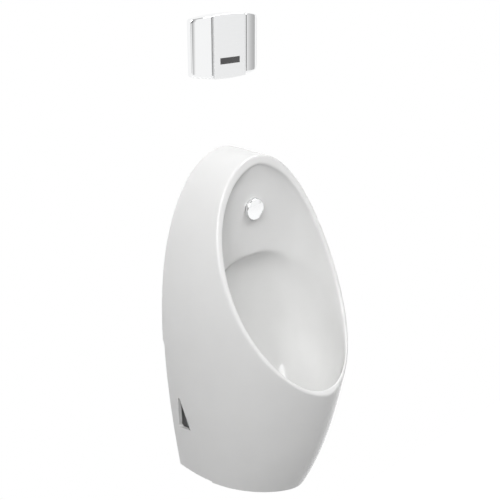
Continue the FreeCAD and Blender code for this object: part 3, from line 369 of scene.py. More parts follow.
def through(points, at):
    """The value at `at` of the polynomial through (place, value) points."""
    total = 0.0
    for i, (spot, value) in enumerate(points):
        for j, (other, _) in enumerate(points):
            if j != i:
                value = value * (at - other) / (spot - other)
        total = total + value
    return total


def rim_depth(z):
    """Wall to the rim: a chord from the crown to the lip, hollowed by RIM_SAG half way."""
    s = (BODY_HEIGHT - z) / (BODY_HEIGHT - LIP_HEIGHT)
    return RIM_TOP_DEPTH + (LIP_DEPTH - RIM_TOP_DEPTH) * s - 4 * RIM_SAG * s * (1 - s)


def body_depth(z):
    return through([(0, FOOT_DEPTH), (LIP_HEIGHT, LIP_DEPTH),
                    ((LIP_HEIGHT + BODY_HEIGHT) / 2, MID_DEPTH), (BODY_HEIGHT, CROWN_DEPTH)], z)


def body_half(z, depth, side=0.0, front=0.0, top=0.0):
    """Half the body's width at a height and depth, brought in by a wall at side, front and top."""
    wide = through([(0, FOOT_HALF), (WIDEST_HEIGHT, WIDEST_HALF), (BODY_HEIGHT, SHOULDER_HALF)],
                   z) - side
    level = np.clip(z / (BODY_HEIGHT - top), 0, 1)
    wide = wide * np.sqrt(np.maximum(0, 1 - level ** CROWN_POWER))
    full = 1 - np.minimum(1, depth / (body_depth(z) - front)) ** SIDE_FULLNESS
    p = FOOT_ROUND + (CROWN_ROUND - FOOT_ROUND) * z / BODY_HEIGHT
    soft = NOSE_RADIUS ** p
    reach = (full * ((wide ** 2 + NOSE_RADIUS ** 2) ** (p / 2) - soft) + soft) ** (2 / p)
    half = np.sqrt(np.maximum(0, reach - NOSE_RADIUS ** 2))
    return np.where(half < LEAST, 0, half)


print("width at the widest", round(2 * float(body_half(WIDEST_HEIGHT, 0.0)), 1))

# %% Even steps along a curve, and a search by halving
SAMPLES = 1500                 # points that a curve is measured with
HALVINGS = 34                  # enough for a place finer than a mesh can hold


def evenly(surface, path, count):
    """`count` + 1 places on a path, (a, b) pairs, that are evenly spaced once on the surface."""
    spots = surface(*path)
    gaps = np.sqrt(sum(np.diff(c) ** 2 for c in spots))
    along = np.concatenate([[0], np.cumsum(gaps)])
    wanted = np.linspace(0, along[-1], count + 1)
    return [np.interp(wanted, along, c) for c in path]


def eased(low, high, count=SAMPLES):
    """Values from low to high, dense at both ends, where a rounded form turns fast."""
    return low + (high - low) * (1 - np.cos(np.linspace(0, np.pi, count))) / 2


def crossing(low, high, past):
    """The last value before `past` turns true and the first after it, between low and high."""
    for _ in range(HALVINGS):
        middle = (low + high) / 2
        over = past(middle)
        low, high = np.where(over, low, middle), np.where(over, middle, high)
    return low, high


# %% [markdown]
# ## The bowl
# The bowl is two hollows in one: an upright niche behind the rim, with a nearly flat back, and a
# wider, deeper basin below it that falls to the waste. Seen from the waste's axis every level of
# each is one distance for each direction, so the surface is the larger of the two distances. A
# soft maximum, not a hard one, leaves the rounded ridge that runs down each side of the real bowl
# where the two hollows meet.

# %% Sizes of the bowl
RIM_TOP_WIDTH, RIM_SIDE_WIDTH, RIM_FRONT_WIDTH = 18.0, 12.0, 10.0
NICHE_LOW_DEPTH, NICHE_INLET_DEPTH, NICHE_HIGH_DEPTH = 62.0, 95.0, 102.0
NICHE_CAP, NICHE_CAP_REACH = 45.0, 0.96      # the niche's back arches forward over its last part
NICHE_LOW_BLUNT, NICHE_HIGH_BLUNT = 4.0, 2.6
MOUTH_LEAD = 6.0               # the niche's form runs on this far in front of the rim
INLET_HEIGHT = 605.0
BASIN_HALF, BASIN_CENTRE_HEIGHT, SEAT_HEIGHT = 131.0, 335.0, 158.0
BASIN_FLOOR_CLOSE = 12.0       # how far below the waste's seat the basin's form would close
BASIN_FLOOR_REACH = BASIN_CENTRE_HEIGHT - SEAT_HEIGHT + BASIN_FLOOR_CLOSE
BASIN_TOP_REACH, BASIN_TOP_SHARE = 190.0, 0.97
BASIN_BACK_DEPTH = 60.0
BASIN_BACK_CLIMB = 1.5         # the basin's back stays deep higher up than its sides stay wide
BASIN_FRONT_FALL = 0.75        # a larger value brings the front in sooner below the lip
BACK_BLUNT, FRONT_BLUNT, FLOOR_BLUNT, TOP_BLUNT = 3.2, 1.8, 2.6, 4.0     # larger is squarer
DRAIN_DEPTH, FLOOR_WALL = 170.0, 12.0
RIDGE_SOFT = 12.0              # width over which the niche turns into the basin
RIDGE_FADE = 60.0              # half width of the niche below which that ridge sharpens
REACH_LIMIT = 700.0            # farther than any direction's distance
RATIO_LIMIT = 9                # so far outside that a power of it needn't be exact
CROWN_NEAR = 1e-4              # the niche's very top is taken this far below its closing point


def share(value):
    """What a rounded form keeps, from 1 down to 0, as a value goes from 0 to 1."""
    return np.sqrt(np.maximum(0, 1 - value))


def mouth_foot(front):
    """The height at which the rim's inner edges meet at the front."""
    def joined(z):
        return rim_depth(z) <= body_depth(z) - front
    return float(crossing(0.0, (LIP_HEIGHT + BODY_HEIGHT) / 2, joined)[1])


def exit_distance(outside, turn):
    """How far one goes from the waste's axis, in a direction, to leave a section."""
    def out(far):
        return outside(far * np.sin(turn), DRAIN_DEPTH - far * np.cos(turn)) > 1
    return crossing(np.zeros_like(turn), np.full_like(turn, REACH_LIMIT), out)[0]


# %% The two hollows, and the bowl that they make
def mouth_distance(turn, z, wall):
    """The niche: the rim's inner edge, carried back to the bowl's back."""
    crown, low = BODY_HEIGHT - RIM_TOP_WIDTH + wall, mouth_foot(RIM_FRONT_WIDTH - wall)
    level = np.clip(z, low, crown - CROWN_NEAR)
    half = body_half(level, rim_depth(level), RIM_SIDE_WIDTH - wall, RIM_FRONT_WIDTH - wall,
                     RIM_TOP_WIDTH - wall)
    deep = through([(LIP_HEIGHT, NICHE_LOW_DEPTH), (INLET_HEIGHT, NICHE_INLET_DEPTH),
                    (BODY_HEIGHT, NICHE_HIGH_DEPTH)], level)
    rise = NICHE_CAP_REACH * np.maximum(0, 1 - (crown - level) / NICHE_CAP)
    niche = deep + (rim_depth(level) - deep) * (1 - np.sqrt(1 - rise ** 2)) - wall
    front = rim_depth(level) + MOUTH_LEAD
    blunt = NICHE_LOW_BLUNT + (NICHE_HIGH_BLUNT - NICHE_LOW_BLUNT) * (level - low) / (crown - low)

    def outside(x, depth):
        back = np.maximum(0, front - depth) / (front - niche)
        return np.minimum(RATIO_LIMIT, x / np.maximum(half, LEAST)) ** blunt + back ** 2
    return np.where((z > low) & (half > 0), exit_distance(outside, turn), 0), half


def basin_distance(turn, z, wall):
    """The basin about the waste's axis: blunt behind, rounder in front."""
    floor_reach = BASIN_FLOOR_REACH + (FLOOR_WALL if wall else 0.0)
    rise = z - BASIN_CENTRE_HEIGHT
    fall = share((np.maximum(0, -rise) / floor_reach) ** FLOOR_BLUNT)
    climb = np.minimum(1, np.maximum(0, rise) / BASIN_TOP_REACH)
    across = fall * share(climb ** TOP_BLUNT)
    back_share = fall * share(climb ** (BASIN_BACK_CLIMB * TOP_BLUNT))
    lip_fall = share(((BASIN_CENTRE_HEIGHT - LIP_HEIGHT) / floor_reach) ** FLOOR_BLUNT) ** 2
    ahead = body_depth(np.maximum(z, LIP_HEIGHT)) - RIM_FRONT_WIDTH + wall - DRAIN_DEPTH
    below = np.minimum(1, (across ** 2 / lip_fall)) ** BASIN_FRONT_FALL
    ahead = ahead * np.where(z < LIP_HEIGHT, below, np.where(rise > 0, across, 1))
    half = np.maximum(LEAST, (BASIN_HALF + wall) * across)
    deep = np.maximum(LEAST, (DRAIN_DEPTH - BASIN_BACK_DEPTH + wall) * back_share)
    ahead = np.maximum(LEAST, ahead)

    def outside(x, depth):
        sideways = np.minimum(RATIO_LIMIT, x / half)
        backward = np.minimum(RATIO_LIMIT * deep, DRAIN_DEPTH - depth) / deep
        forward = np.minimum(RATIO_LIMIT, np.maximum(0, depth - DRAIN_DEPTH) / ahead)
        return np.where(depth < DRAIN_DEPTH, sideways ** BACK_BLUNT + backward ** 2,
                        sideways ** 2 + forward ** FRONT_BLUNT)
    return np.where(rise < BASIN_TOP_SHARE * BASIN_TOP_REACH, exit_distance(outside, turn), 0)


def bowl_distance(turn, z, wall=0.0):
    """The larger of the two distances, softened where they are equal."""
    turn, z = np.broadcast_arrays(np.asarray(turn, float), np.asarray(z, float))
    mouth, half = mouth_distance(turn, z, wall)
    basin = basin_distance(turn, z, wall)
    soft = RIDGE_SOFT * np.sin(turn) ** 2 * np.minimum(1, half / RIDGE_FADE)
    soft = soft * (mouth > 0) * (basin > 0)
    return (mouth + basin + np.sqrt((mouth - basin) ** 2 + soft ** 2)) / 2


print("the rim's inner edges meet at", round(mouth_foot(RIM_FRONT_WIDTH), 1), "mm")

# %% Surfaces as functions of two numbers
def outer_at(reach, z, wall=0.0):
    """reach is 0 at the wall and 1 at the nose's line."""
    depth = reach * (body_depth(z) - wall)
    return body_half(z, depth, wall, wall, wall), -depth, z


def bowl_at(turn, z, wall=0.0):
    """turn is 0 straight back to the wall and pi straight out to the room."""
    far = bowl_distance(turn, z, wall)
    return far * np.sin(turn), far * np.cos(turn) - DRAIN_DEPTH, z + 0 * far


def rim_turn(z, depth):
    """The direction in which the bowl's surface reaches a depth."""
    def reached(turn):
        return -bowl_at(turn, z)[1] >= depth
    return crossing(np.zeros_like(z), np.full_like(z, np.pi), reached)[0]


def stack(points):
    """Three arrays of coordinates as one array of points."""
    return np.stack(np.broadcast_arrays(*points), axis=-1)


# %% [markdown]
# ## Laying the grids
# Both skins are grids between two curves. The far curve is the rim, the near curve is where the
# skin ends: the wall and the underside for the outer skin, the waste and the middle line of the
# back for the bowl. Taking the points evenly along the finished curves keeps the faces square, even
# where the form turns fast at the crown and at the nose.

# %% The curves that the skins run between
ROWS, FOOT_ROWS, FLOOR_ROWS = 170, 46, 44
OUTER_COLUMNS, BOWL_COLUMNS, HOLLOW_COLUMNS, BACK_COLUMNS = 44, 84, 22, 32
RIM_ROUND_OUT, RIM_ROUND_IN, SEAT_ROUND = 4.5, 4.0, 9.0
CROWN = BODY_HEIGHT - RIM_TOP_WIDTH          # the top of the rim's inner edge
FOOT = mouth_foot(RIM_FRONT_WIDTH)           # and its lowest point, at the front


def outer_border(at, top):
    """Along the underside from the nose to the wall, then up the wall to the top."""
    turn = np.linspace(0, np.pi / 2, SAMPLES)
    low = evenly(at, (np.cos(turn), np.zeros(SAMPLES)), FOOT_ROWS)
    up = evenly(at, (np.zeros(SAMPLES), top * np.sin(turn)), ROWS - FOOT_ROWS)
    return [np.concatenate([a, b[1:]]) for a, b in zip(low, up)]


def bowl_border(at, low, high):
    """Round the basin at one level from front to back, then up the middle line of the back."""
    ring = evenly(at, (np.linspace(np.pi, 0, SAMPLES), np.full(SAMPLES, low)), FLOOR_ROWS)
    up = evenly(at, (np.zeros(SAMPLES), np.linspace(low, high, SAMPLES)), ROWS - FLOOR_ROWS)
    return [np.concatenate([a, b[1:]]) for a, b in zip(ring, up)]


def outer_rim():
    z = eased(LIP_HEIGHT, BODY_HEIGHT)
    return evenly(outer_at, (rim_depth(z) / body_depth(z), z), ROWS)


def inner_rim(outer_spots):
    """The rim's inner edge, at the places nearest to the outer edge's points."""
    z = eased(FOOT, CROWN, 2 * SAMPLES)
    turn = rim_turn(z, rim_depth(z))
    turn[0] = np.pi
    spots = stack(bowl_at(turn, z))
    near = [int(np.argmin(((spots - spot) ** 2).sum(axis=1))) for spot in outer_spots]
    near[0], near[-1] = 0, len(z) - 1
    near = np.maximum.accumulate(near)
    return [turn[near], z[near]]


# %% A skin, and a rounded corner
LEAST_LENGTH = 1e-9            # so that nothing is divided by a length of none
LEAST_SHARE = 0.5              # a row keeps at least this share of its length
NARROW_SHARE = 0.46            # and a corner takes at most this share of the side that it rounds
ROLL_STEPS = 5


def skin(surface, near, far, columns, short=0.0):
    """Rows of points from near to far, ending `short` millimetres before far."""
    (a0, b0), (a1, b1) = near, far
    ends = stack(surface(a0, b0)), stack(surface(a1, b1))
    length = np.maximum(LEAST_LENGTH, np.linalg.norm(ends[1] - ends[0], axis=-1))
    stop = np.maximum(LEAST_SHARE, 1 - short / length)
    t = np.linspace(0, 1, columns + 1)[None, :] * stop[:, None]
    a = a0[:, None] + (a1 - a0)[:, None] * t
    b = b0[:, None] + (b1 - b0)[:, None] * t
    return stack(surface(a, b))


def bend(start, corner, end, t):
    """The curve that leaves start towards the corner and joins end without a kink, at t."""
    return (1 - t) ** 2 * start + 2 * t * (1 - t) * corner + t ** 2 * end


def rolled(before, corner, after):
    """A rounded corner all along a row of corners."""
    t = np.linspace(0, 1, ROLL_STEPS + 1)[None, :, None]
    return bend(*(p[:, None, :] for p in (before, corner, after)), t)


def step_toward(start, end, distance):
    way = end - start
    length = np.maximum(LEAST_LENGTH, np.linalg.norm(way, axis=-1, keepdims=True))
    return start + way / length * np.minimum(distance, NARROW_SHARE * length)


# %% The two skins, and the rolled rim between them
outer_edge = outer_rim()
outer_corner = stack(outer_at(*outer_edge))
inner_edge = inner_rim(outer_corner)
inner_corner = stack(bowl_at(*inner_edge))
outer_skin = skin(outer_at, outer_border(outer_at, BODY_HEIGHT), outer_edge, OUTER_COLUMNS,
                  RIM_ROUND_OUT)
bowl_skin = skin(bowl_at, bowl_border(bowl_at, SEAT_HEIGHT + SEAT_ROUND, CROWN), inner_edge,
                 BOWL_COLUMNS, RIM_ROUND_IN)
for last in (bowl_skin[-1], inner_corner[-1:]):
    last[:, 0] = 0             # the niche's top closes on the middle plane
rim_out = step_toward(outer_corner, inner_corner, RIM_ROUND_OUT)
rim_in = step_toward(inner_corner, outer_corner, RIM_ROUND_IN)
rim = np.concatenate([rolled(outer_skin[:, -1], outer_corner, rim_out),
                      rolled(rim_in, inner_corner, bowl_skin[:, -1])], axis=1)
print("rim width at the crown, middle and lip", [
    round(float(np.linalg.norm(outer_corner[k] - inner_corner[k])), 1) for k in (-1, ROWS // 2, 0)])

# %% The basin's floor, with the hole for the waste
DRAIN_RADIUS, FLOOR_STEPS = 24.0, 8


def floor_rows(at, level):
    """From the basin's wall, round the corner and in over the flat to the waste hole."""
    above = level + SEAT_ROUND
    turn = evenly(at, (np.linspace(np.pi, 0, SAMPLES), np.full(SAMPLES, above)), FLOOR_ROWS)[0]
    start, corner = stack(at(turn, above)), stack(at(turn, level))
    hole = stack((DRAIN_RADIUS * np.sin(turn), DRAIN_RADIUS * np.cos(turn) - DRAIN_DEPTH,
                  level + 0 * turn))
    t = np.linspace(0, 1, FLOOR_STEPS + 1)[None, :, None]
    inward = step_toward(corner, hole, SEAT_ROUND)
    flat = inward[:, None] + (hole - inward)[:, None] * t
    return np.concatenate([rolled(start, corner, inward), flat[:, 1:]], axis=1)


floor = floor_rows(bowl_at, SEAT_HEIGHT)
print("the floor is", round(float(np.ptp(floor[:, 0, 1]))), "mm from front to back")

# %% [markdown]
# ## The side that faces the wall
# Behind its skins the casting is open towards the wall and the floor. Its hidden faces follow the
# same two rules with the wall's thickness taken off, and they meet where the inside of the outer
# wall runs into the back of the bowl.

# %% The hidden faces' rules, and where they meet
SHELL_WALL, BOWL_WALL = 11.0, 9.0
HOLLOW_TOP, FLOOR_UNDER = BODY_HEIGHT - SHELL_WALL, SEAT_HEIGHT - FLOOR_WALL
FRONT_LEVELS, ABOVE_LIP = 400, 20.0          # where the hollow's front is looked for


def hollow_at(reach, z):
    return outer_at(reach, z, SHELL_WALL)


def back_at(turn, z):
    return bowl_at(turn, z, BOWL_WALL)


def meeting(z):
    """Share of the depth at which the outer wall's inside runs into the bowl's back, or 1."""
    def inside(reach):
        x, y, _ = hollow_at(reach, z)
        turn = np.arctan2(x, y + DRAIN_DEPTH)
        return np.hypot(x, y + DRAIN_DEPTH) < bowl_distance(turn, z, BOWL_WALL)
    return crossing(np.zeros_like(z), np.ones_like(z), inside)[1]


def front_meeting():
    """The height at which the hollow's front closes."""
    z = np.linspace(SEAT_HEIGHT, LIP_HEIGHT + ABOVE_LIP, FRONT_LEVELS)
    ahead = bowl_distance(np.full_like(z, np.pi), z, BOWL_WALL) + DRAIN_DEPTH
    return float(z[np.argmax(ahead > body_depth(z) - SHELL_WALL)])


hollow_front = front_meeting()
hollow_z = eased(hollow_front, HOLLOW_TOP)
hollow_reach = meeting(hollow_z)
hollow_reach[0] = 1.0          # at its lowest point the line lies on the nose
print("the hollow closes at", round(hollow_front), "mm")

# %% The hidden faces' grids
join = evenly(hollow_at, (hollow_reach, hollow_z), ROWS)
join_spots = stack(hollow_at(*join))
join_turn = np.arctan2(join_spots[:, 0], join_spots[:, 1] + DRAIN_DEPTH)
hollow_skin = skin(hollow_at, outer_border(hollow_at, HOLLOW_TOP), join, HOLLOW_COLUMNS)
back_skin = skin(back_at, bowl_border(back_at, FLOOR_UNDER + SEAT_ROUND, HOLLOW_TOP),
                 (join_turn, join[1]), BACK_COLUMNS)
back_skin[:, -1] = join_spots
floor_under = floor_rows(back_at, FLOOR_UNDER)
print("hidden points", hollow_skin[..., 0].size + back_skin[..., 0].size)

# %% [markdown]
# ## Putting the body together
# The grids of one half are laid in one mesh, where their shared edges have the same points. A thin
# skin is taken off each side near the wall, behind a slanting line: two plane cuts give that line
# its own edges, and what lies behind it moves in. The half is then mirrored, and one bridge closes
# the band between the outer and the hidden skin, all round the wall and the underside.

# %% Build and mirror the half
REAR_PANEL_HEIGHT, REAR_PANEL_DEPTH = 328.0, 105.0     # where the slanting line starts and ends
REAR_PANEL_RECESS, REAR_PANEL_SLOPE = 3.0, 1.5
CUT_NEAR = 1e-7                # metres: a corner this near a cut lies on it
OFF_MIDDLE, PAST_LINE = 1e-6, 1e-4           # metres and millimetres: what moves in is farther

body_mesh = bmesh.new()
sheet(body_mesh, outer_skin)
behind = Vector((0, REAR_PANEL_HEIGHT, -REAR_PANEL_DEPTH)).normalized()
line_point = place(0, 0, REAR_PANEL_HEIGHT)
for offset in (0.0, REAR_PANEL_SLOPE):
    bmesh.ops.bisect_plane(body_mesh, geom=everything(body_mesh), dist=CUT_NEAR,
                           plane_co=line_point + behind * offset * MM, plane_no=behind)
for v in body_mesh.verts:
    past = (v.co - line_point).dot(behind) / MM
    if v.co.x > OFF_MIDDLE and past > PAST_LINE:
        v.co.x -= REAR_PANEL_RECESS * MM * min(1, past / REAR_PANEL_SLOPE)
for grid in (rim, bowl_skin, floor):
    sheet(body_mesh, grid)
merge(body_mesh)
drain_band = np.stack([floor[:, -1], floor_under[:, -1]], axis=1)
for grid in (hollow_skin, back_skin, floor_under, drain_band):
    sheet(body_mesh, grid)
merge(body_mesh)
bmesh.ops.mirror(body_mesh, geom=everything(body_mesh), axis="X", merge_dist=NEAR)
merge(body_mesh)
print("open edges before the bridge", len(open_edges(body_mesh)))
bmesh.ops.bridge_loops(body_mesh, edges=open_edges(body_mesh))

# %% [markdown]
# ## Bosses, holes and slots
# Behind the bowl stand two bosses with pockets that drop over the wall hooks, and a pad that the
# inlet spud is clamped to. Low on each side is a three-cornered slot for the fitter's hand. These
# forms cross the curved skins, so they are made as plain solids and joined or cut with a Boolean
# modifier, which works out the seam. Each is a side view pushed across or a profile spun round.

# %% Shapes to join and to cut with
def round_corners(bm, made, corners, radius):
    """Turn each corner of an outline into an arc that touches both of its sides."""
    for k, v in enumerate(made):
        before, corner, after = (Vector(corners[(k + step) % len(corners)]) for step in (-1, 0, 1))
        half_angle = (before - corner).angle(after - corner) / 2
        bmesh.ops.bevel(bm, geom=[v], affect="VERTICES", segments=6, profile=0.5, material=-1,
                        offset_type="OFFSET", offset=radius / math.tan(half_angle) * MM,
                        clamp_overlap=False)


def prism(bm, corners, x0, x1, radius=0.0):
    """A side view of (wall distance, height) corners, rounded, and pushed from x0 to x1."""
    made = [bm.verts.new(place(x0, -y, z)) for y, z in corners]
    bm.faces.new(made)
    if radius:
        round_corners(bm, made, corners, radius)
    pushed = bmesh.ops.extrude_face_region(bm, geom=bm.faces[:], use_keep_orig=True)
    moved = [g for g in pushed["geom"] if isinstance(g, bmesh.types.BMVert)]
    bmesh.ops.translate(bm, verts=moved, vec=Vector((x1 - x0, 0, 0)) * MM)


def upright(y0, y1, z0, z1):
    """The side view of a block, from y0 to y1 off the wall and from z0 up to z1."""
    return [(y0, z0), (y1, z0), (y1, z1), (y0, z1)]


def turned(bm, profile, height, steps=64):
    """A closed (radius, wall distance) profile spun round a level axis at a height."""
    made = [bm.verts.new(place(r, -y, height)) for r, y in profile]
    edges = [bm.edges.new((a, b)) for a, b in zip(made, made[1:] + made[:1])]
    bmesh.ops.spin(bm, geom=made + edges, cent=place(0, 0, height), axis=(0, 1, 0),
                   angle=2 * math.pi, steps=steps, use_merge=True)


# %% Joining and cutting
def tool(shapes):
    """A helper object made by functions that each fill a bmesh."""
    bm = bmesh.new()
    for shape, *values in shapes:
        part = bmesh.new()
        shape(part, *values)
        merge(part)
        face_outwards(part)
        bm.from_mesh(as_mesh("part", part))
    return in_scene("tool", as_mesh("tool", bm))


def combined(bm, *steps):
    """The bmesh after Boolean steps, each an operation and the shapes that it uses."""
    face_outwards(bm)
    base = in_scene("base", as_mesh("base", bm))
    tools = []
    for operation, shapes in steps:
        change = base.modifiers.new(operation, "BOOLEAN")
        tools.append(tool(shapes))
        change.operation, change.solver, change.object = operation, "EXACT", tools[-1]
    done = bmesh.new()
    done.from_mesh(bpy.data.meshes.new_from_object(base.evaluated_get(
        bpy.context.evaluated_depsgraph_get())))
    for helper in [base] + tools:
        bpy.data.objects.remove(helper)
    return done


# %% Join the bosses and cut the holes
SLOT_CORNERS, SLOT_ROUND = [(33.0, 209.0), (66.0, 123.0), (22.0, 114.0)], 6.0
SLOT_FROM, SLOT_TO = 60.0, 200.0
BOSS_INNER, BOSS_OUTER, POCKET_INNER = 43.0, 96.0, 54.0
BOSS_FOOT, BOSS_HEAD, POCKET_HEAD, TONGUE_FOOT = 556.0, 641.0, 632.0, 601.0
BOSS_DEPTH, POCKET_DEPTH, TONGUE_FRONT, TONGUE_BACK = 88.0, 16.0, 10.0, 4.0
INLET_SEAT, PAD_BACK, PAD_FRONT = 94.0, 80.0, 88.0
PAD_RADIUS, SPOT_RADIUS, BORE_RADIUS = 30.0, 23.5, 18.5
PAST = 1.0                     # how far a cut starts outside what it cuts

boss_view = upright(0, BOSS_DEPTH, BOSS_FOOT, BOSS_HEAD)
pocket_view = [(-PAST, BOSS_FOOT - PAST), (POCKET_DEPTH, BOSS_FOOT - PAST),
               (POCKET_DEPTH, POCKET_HEAD), (TONGUE_FRONT, POCKET_HEAD),
               (TONGUE_FRONT, TONGUE_FOOT), (TONGUE_BACK, TONGUE_FOOT),
               (TONGUE_BACK, POCKET_HEAD), (-PAST, POCKET_HEAD)]
pad_profile = [(0, PAD_BACK), (PAD_RADIUS, PAD_BACK), (PAD_RADIUS, PAD_FRONT),
               (SPOT_RADIUS, PAD_FRONT), (SPOT_RADIUS, INLET_SEAT), (0, INLET_SEAT)]
bore_profile = [(0, PAD_BACK - PAST), (BORE_RADIUS, PAD_BACK - PAST), (BORE_RADIUS, INLET_SEAT),
                (SPOT_RADIUS, INLET_SEAT), (SPOT_RADIUS, 2 * INLET_SEAT), (0, 2 * INLET_SEAT)]
joined, cut = [(turned, pad_profile, INLET_HEIGHT)], [(turned, bore_profile, INLET_HEIGHT)]
for side in (-1, 1):
    joined.append((prism, boss_view, side * BOSS_INNER, side * BOSS_OUTER))
    cut += [(prism, pocket_view, side * POCKET_INNER, side * (BOSS_OUTER + PAST)),
            (prism, SLOT_CORNERS, side * SLOT_FROM, side * SLOT_TO, SLOT_ROUND)]
body_mesh = combined(body_mesh, ("UNION", joined), ("DIFFERENCE", cut))
piece("china_body", body_mesh, "vitreous_china", ["ceramic_body"])

# %% [markdown]
# ## The outlet cap
# The water leaves through a slot under a small chromed dome. It is a turned piece, so one profile
# is spun about the inlet's axis, with a rolled edge that a lathe tool would leave. A block is cut
# from its lower side for the water.

# %% Turn the cap
CAP_CROWN, CAP_EDGE, CAP_WALL, CAP_SHEET = 3.0, 2.2, 1.85, 1.5
CAP_SLOT, CAP_LIP, CAP_STEPS = 12.0, 2.0, 72
QUARTER = np.linspace(0, math.pi / 2, 6)     # a quarter turn in steps, for rounded edges

low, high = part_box("spreader_cap")
cap_back, cap_front, cap_radius = -high[1] / MM, -low[1] / MM, (high[0] - low[0]) / 2 / MM
cap_roof = cap_front - CAP_CROWN - CAP_SHEET


def cap_profile():
    """Over the dome and its rolled edge, back to the ceramic, and in again under the roof."""
    flat, inside = cap_radius - CAP_EDGE, cap_radius - CAP_WALL
    dome = [(r, cap_front - CAP_CROWN * (r / cap_radius) ** 2) for r in np.linspace(0, flat, 12)]
    edge = [(flat + CAP_EDGE * math.sin(a), dome[-1][1] - CAP_EDGE + CAP_EDGE * math.cos(a))
            for a in QUARTER[1:]]
    return dome + edge + [(cap_radius, cap_back), (inside, cap_back), (inside, cap_roof),
                          (0, cap_roof)]


cap_mesh = bmesh.new()
turned(cap_mesh, cap_profile(), INLET_HEIGHT, CAP_STEPS)
slot_view = upright(cap_back + CAP_LIP, cap_roof, INLET_HEIGHT - cap_radius - PAST,
                    INLET_HEIGHT - cap_radius / 2)
cap_mesh = combined(cap_mesh, ("DIFFERENCE", [(prism, slot_view, -CAP_SLOT, CAP_SLOT)]))
piece("outlet_cap", cap_mesh, "chrome_plate", ["spreader_cap"])

# %% [markdown]
# ## The flush plate
# The plate is a pressed and chromed cover with two swept wings, a satin panel in its middle and a
# smoked window for the sensor. Cover and panel are both a section, swept upwards under a curved
# outline, whose every edge is rolled over. So one function lays such a form as a grid: columns
# follow the section, rows climb the back, the front and the rolled edges between them.

# %% Sizes of the plate
PLATE_HEIGHT, PLATE_HALF, PLATE_TALL, PLATE_END = 928.5, 87.5, 127.0, 111.0
PLATE_ROLL, CORNER_ROLL = 3.0, 5.0
COVER_FACE, COVER_EDGE, COVER_WALL, COVER_SIDE = 23.5, 10.0, 2.0, 3.0
WING_START, WING_BULGE, GROOVE_DEEP, GROOVE_WIDE = 43.6, 2.4, 1.3, 3.2
GROOVE_STEPS = np.linspace(0, 0.92, 7).tolist()        # each of the wing's forms stops short
WING_STEPS = np.linspace(0, 0.97, 22).tolist()         # of where the next one starts
ROLL_SHARES = np.linspace(0, 1, 7).tolist()[1:]
PANEL_FACE, PANEL_HALF, PANEL_ROLL = 26.0, 42.0, 1.6
COVER_FLAT, PANEL_FLAT, FRONT_ROWS = 14, 12, 26
MOST_ROLL = 0.9                # the most of its depth that a rolled edge takes
PLATE_SHARP = 50               # degrees: only the cover's and the panel's real edges turn more

# %% The sections of the cover and the panel
def wing():
    """The wing's section from the panel to the edge: a shallow groove and a bulged sweep."""
    start, end = Vector((WING_START + GROOVE_WIDE, COVER_FACE)), Vector((PLATE_HALF, COVER_EDGE))
    chord = end - start
    bulge = Vector((-chord.y, chord.x)).normalized() * 2 * WING_BULGE
    groove = [Vector((WING_START + GROOVE_WIDE * t,
                      COVER_FACE - GROOVE_DEEP * math.sin(math.pi * t))) for t in GROOVE_STEPS]
    sweep = [bend(start, (start + end) / 2 + bulge, end, t) for t in WING_STEPS]
    last = sweep[-1]
    corner, down = Vector((PLATE_HALF, last.y)), Vector((PLATE_HALF, last.y - PLATE_ROLL))
    roll = [bend(last, corner, down, t) for t in ROLL_SHARES]
    return groove + sweep + roll + [Vector((PLATE_HALF, y)) for y in (COVER_SIDE, 0.0)]


def panel_side():
    """The panel's rolled edge, and its side down to the cover."""
    edge = [Vector((PANEL_HALF - PANEL_ROLL * (1 - math.sin(a)),
                    PANEL_FACE - PANEL_ROLL * (1 - math.cos(a)))) for a in QUARTER]
    return edge + [Vector((PANEL_HALF, COVER_FACE))]


# %% A section swept upwards
def outline(x):
    """Half the plate's height at a distance from its middle, with rounded outer corners."""
    near_end = max(0.0, (abs(x) - PLATE_HALF + CORNER_ROLL) / CORNER_ROLL)
    arc = (PLATE_TALL - (PLATE_TALL - PLATE_END) * (x / PLATE_HALF) ** 2) / 2
    return arc - CORNER_ROLL * (1 - math.sqrt(1 - near_end ** 2))


def swept(side, flat, back, roll):
    """Grid points of a section swept upwards, with the top and bottom edges rolled over."""
    half = [Vector((x, side[0].y)) for x in np.linspace(0, side[0].x, flat)[:-1]] + side
    section = [Vector((-p.x, p.y)) for p in half[:0:-1]] + half
    columns = []
    for x, deep in section:
        tall, r = outline(x), min(roll, MOST_ROLL * (deep - back))
        edge = [(tall - r * (1 - math.cos(a)), deep - r * (1 - math.sin(a))) for a in QUARTER]
        upper = [(tall, back)] + edge
        front = [(z, deep) for z in np.linspace(tall - r, r - tall, FRONT_ROWS)][1:-1]
        lower = [(-z, y) for z, y in upper[::-1]]
        columns.append([(x, -y, PLATE_HEIGHT + z) for z, y in upper + front + lower])
    return np.array(columns).transpose(1, 0, 2)


# %% The window as a shape
WINDOW_HALF, WINDOW_TALL, WINDOW_HEIGHT, WINDOW_FACE = 25.5, 6.0, 900.5, 25.6
WINDOW_GAP, WINDOW_ROUND, WINDOW_FLANGE, FLANGE_THICK = 0.2, 1.0, 2.5, 1.0


def window_box(grow, y0, y1):
    """The window's block, grown all round, as a shape for prism."""
    reach = WINDOW_TALL + grow
    view = upright(y0, y1, WINDOW_HEIGHT - reach, WINDOW_HEIGHT + reach)
    return prism, view, -WINDOW_HALF - grow, WINDOW_HALF + grow


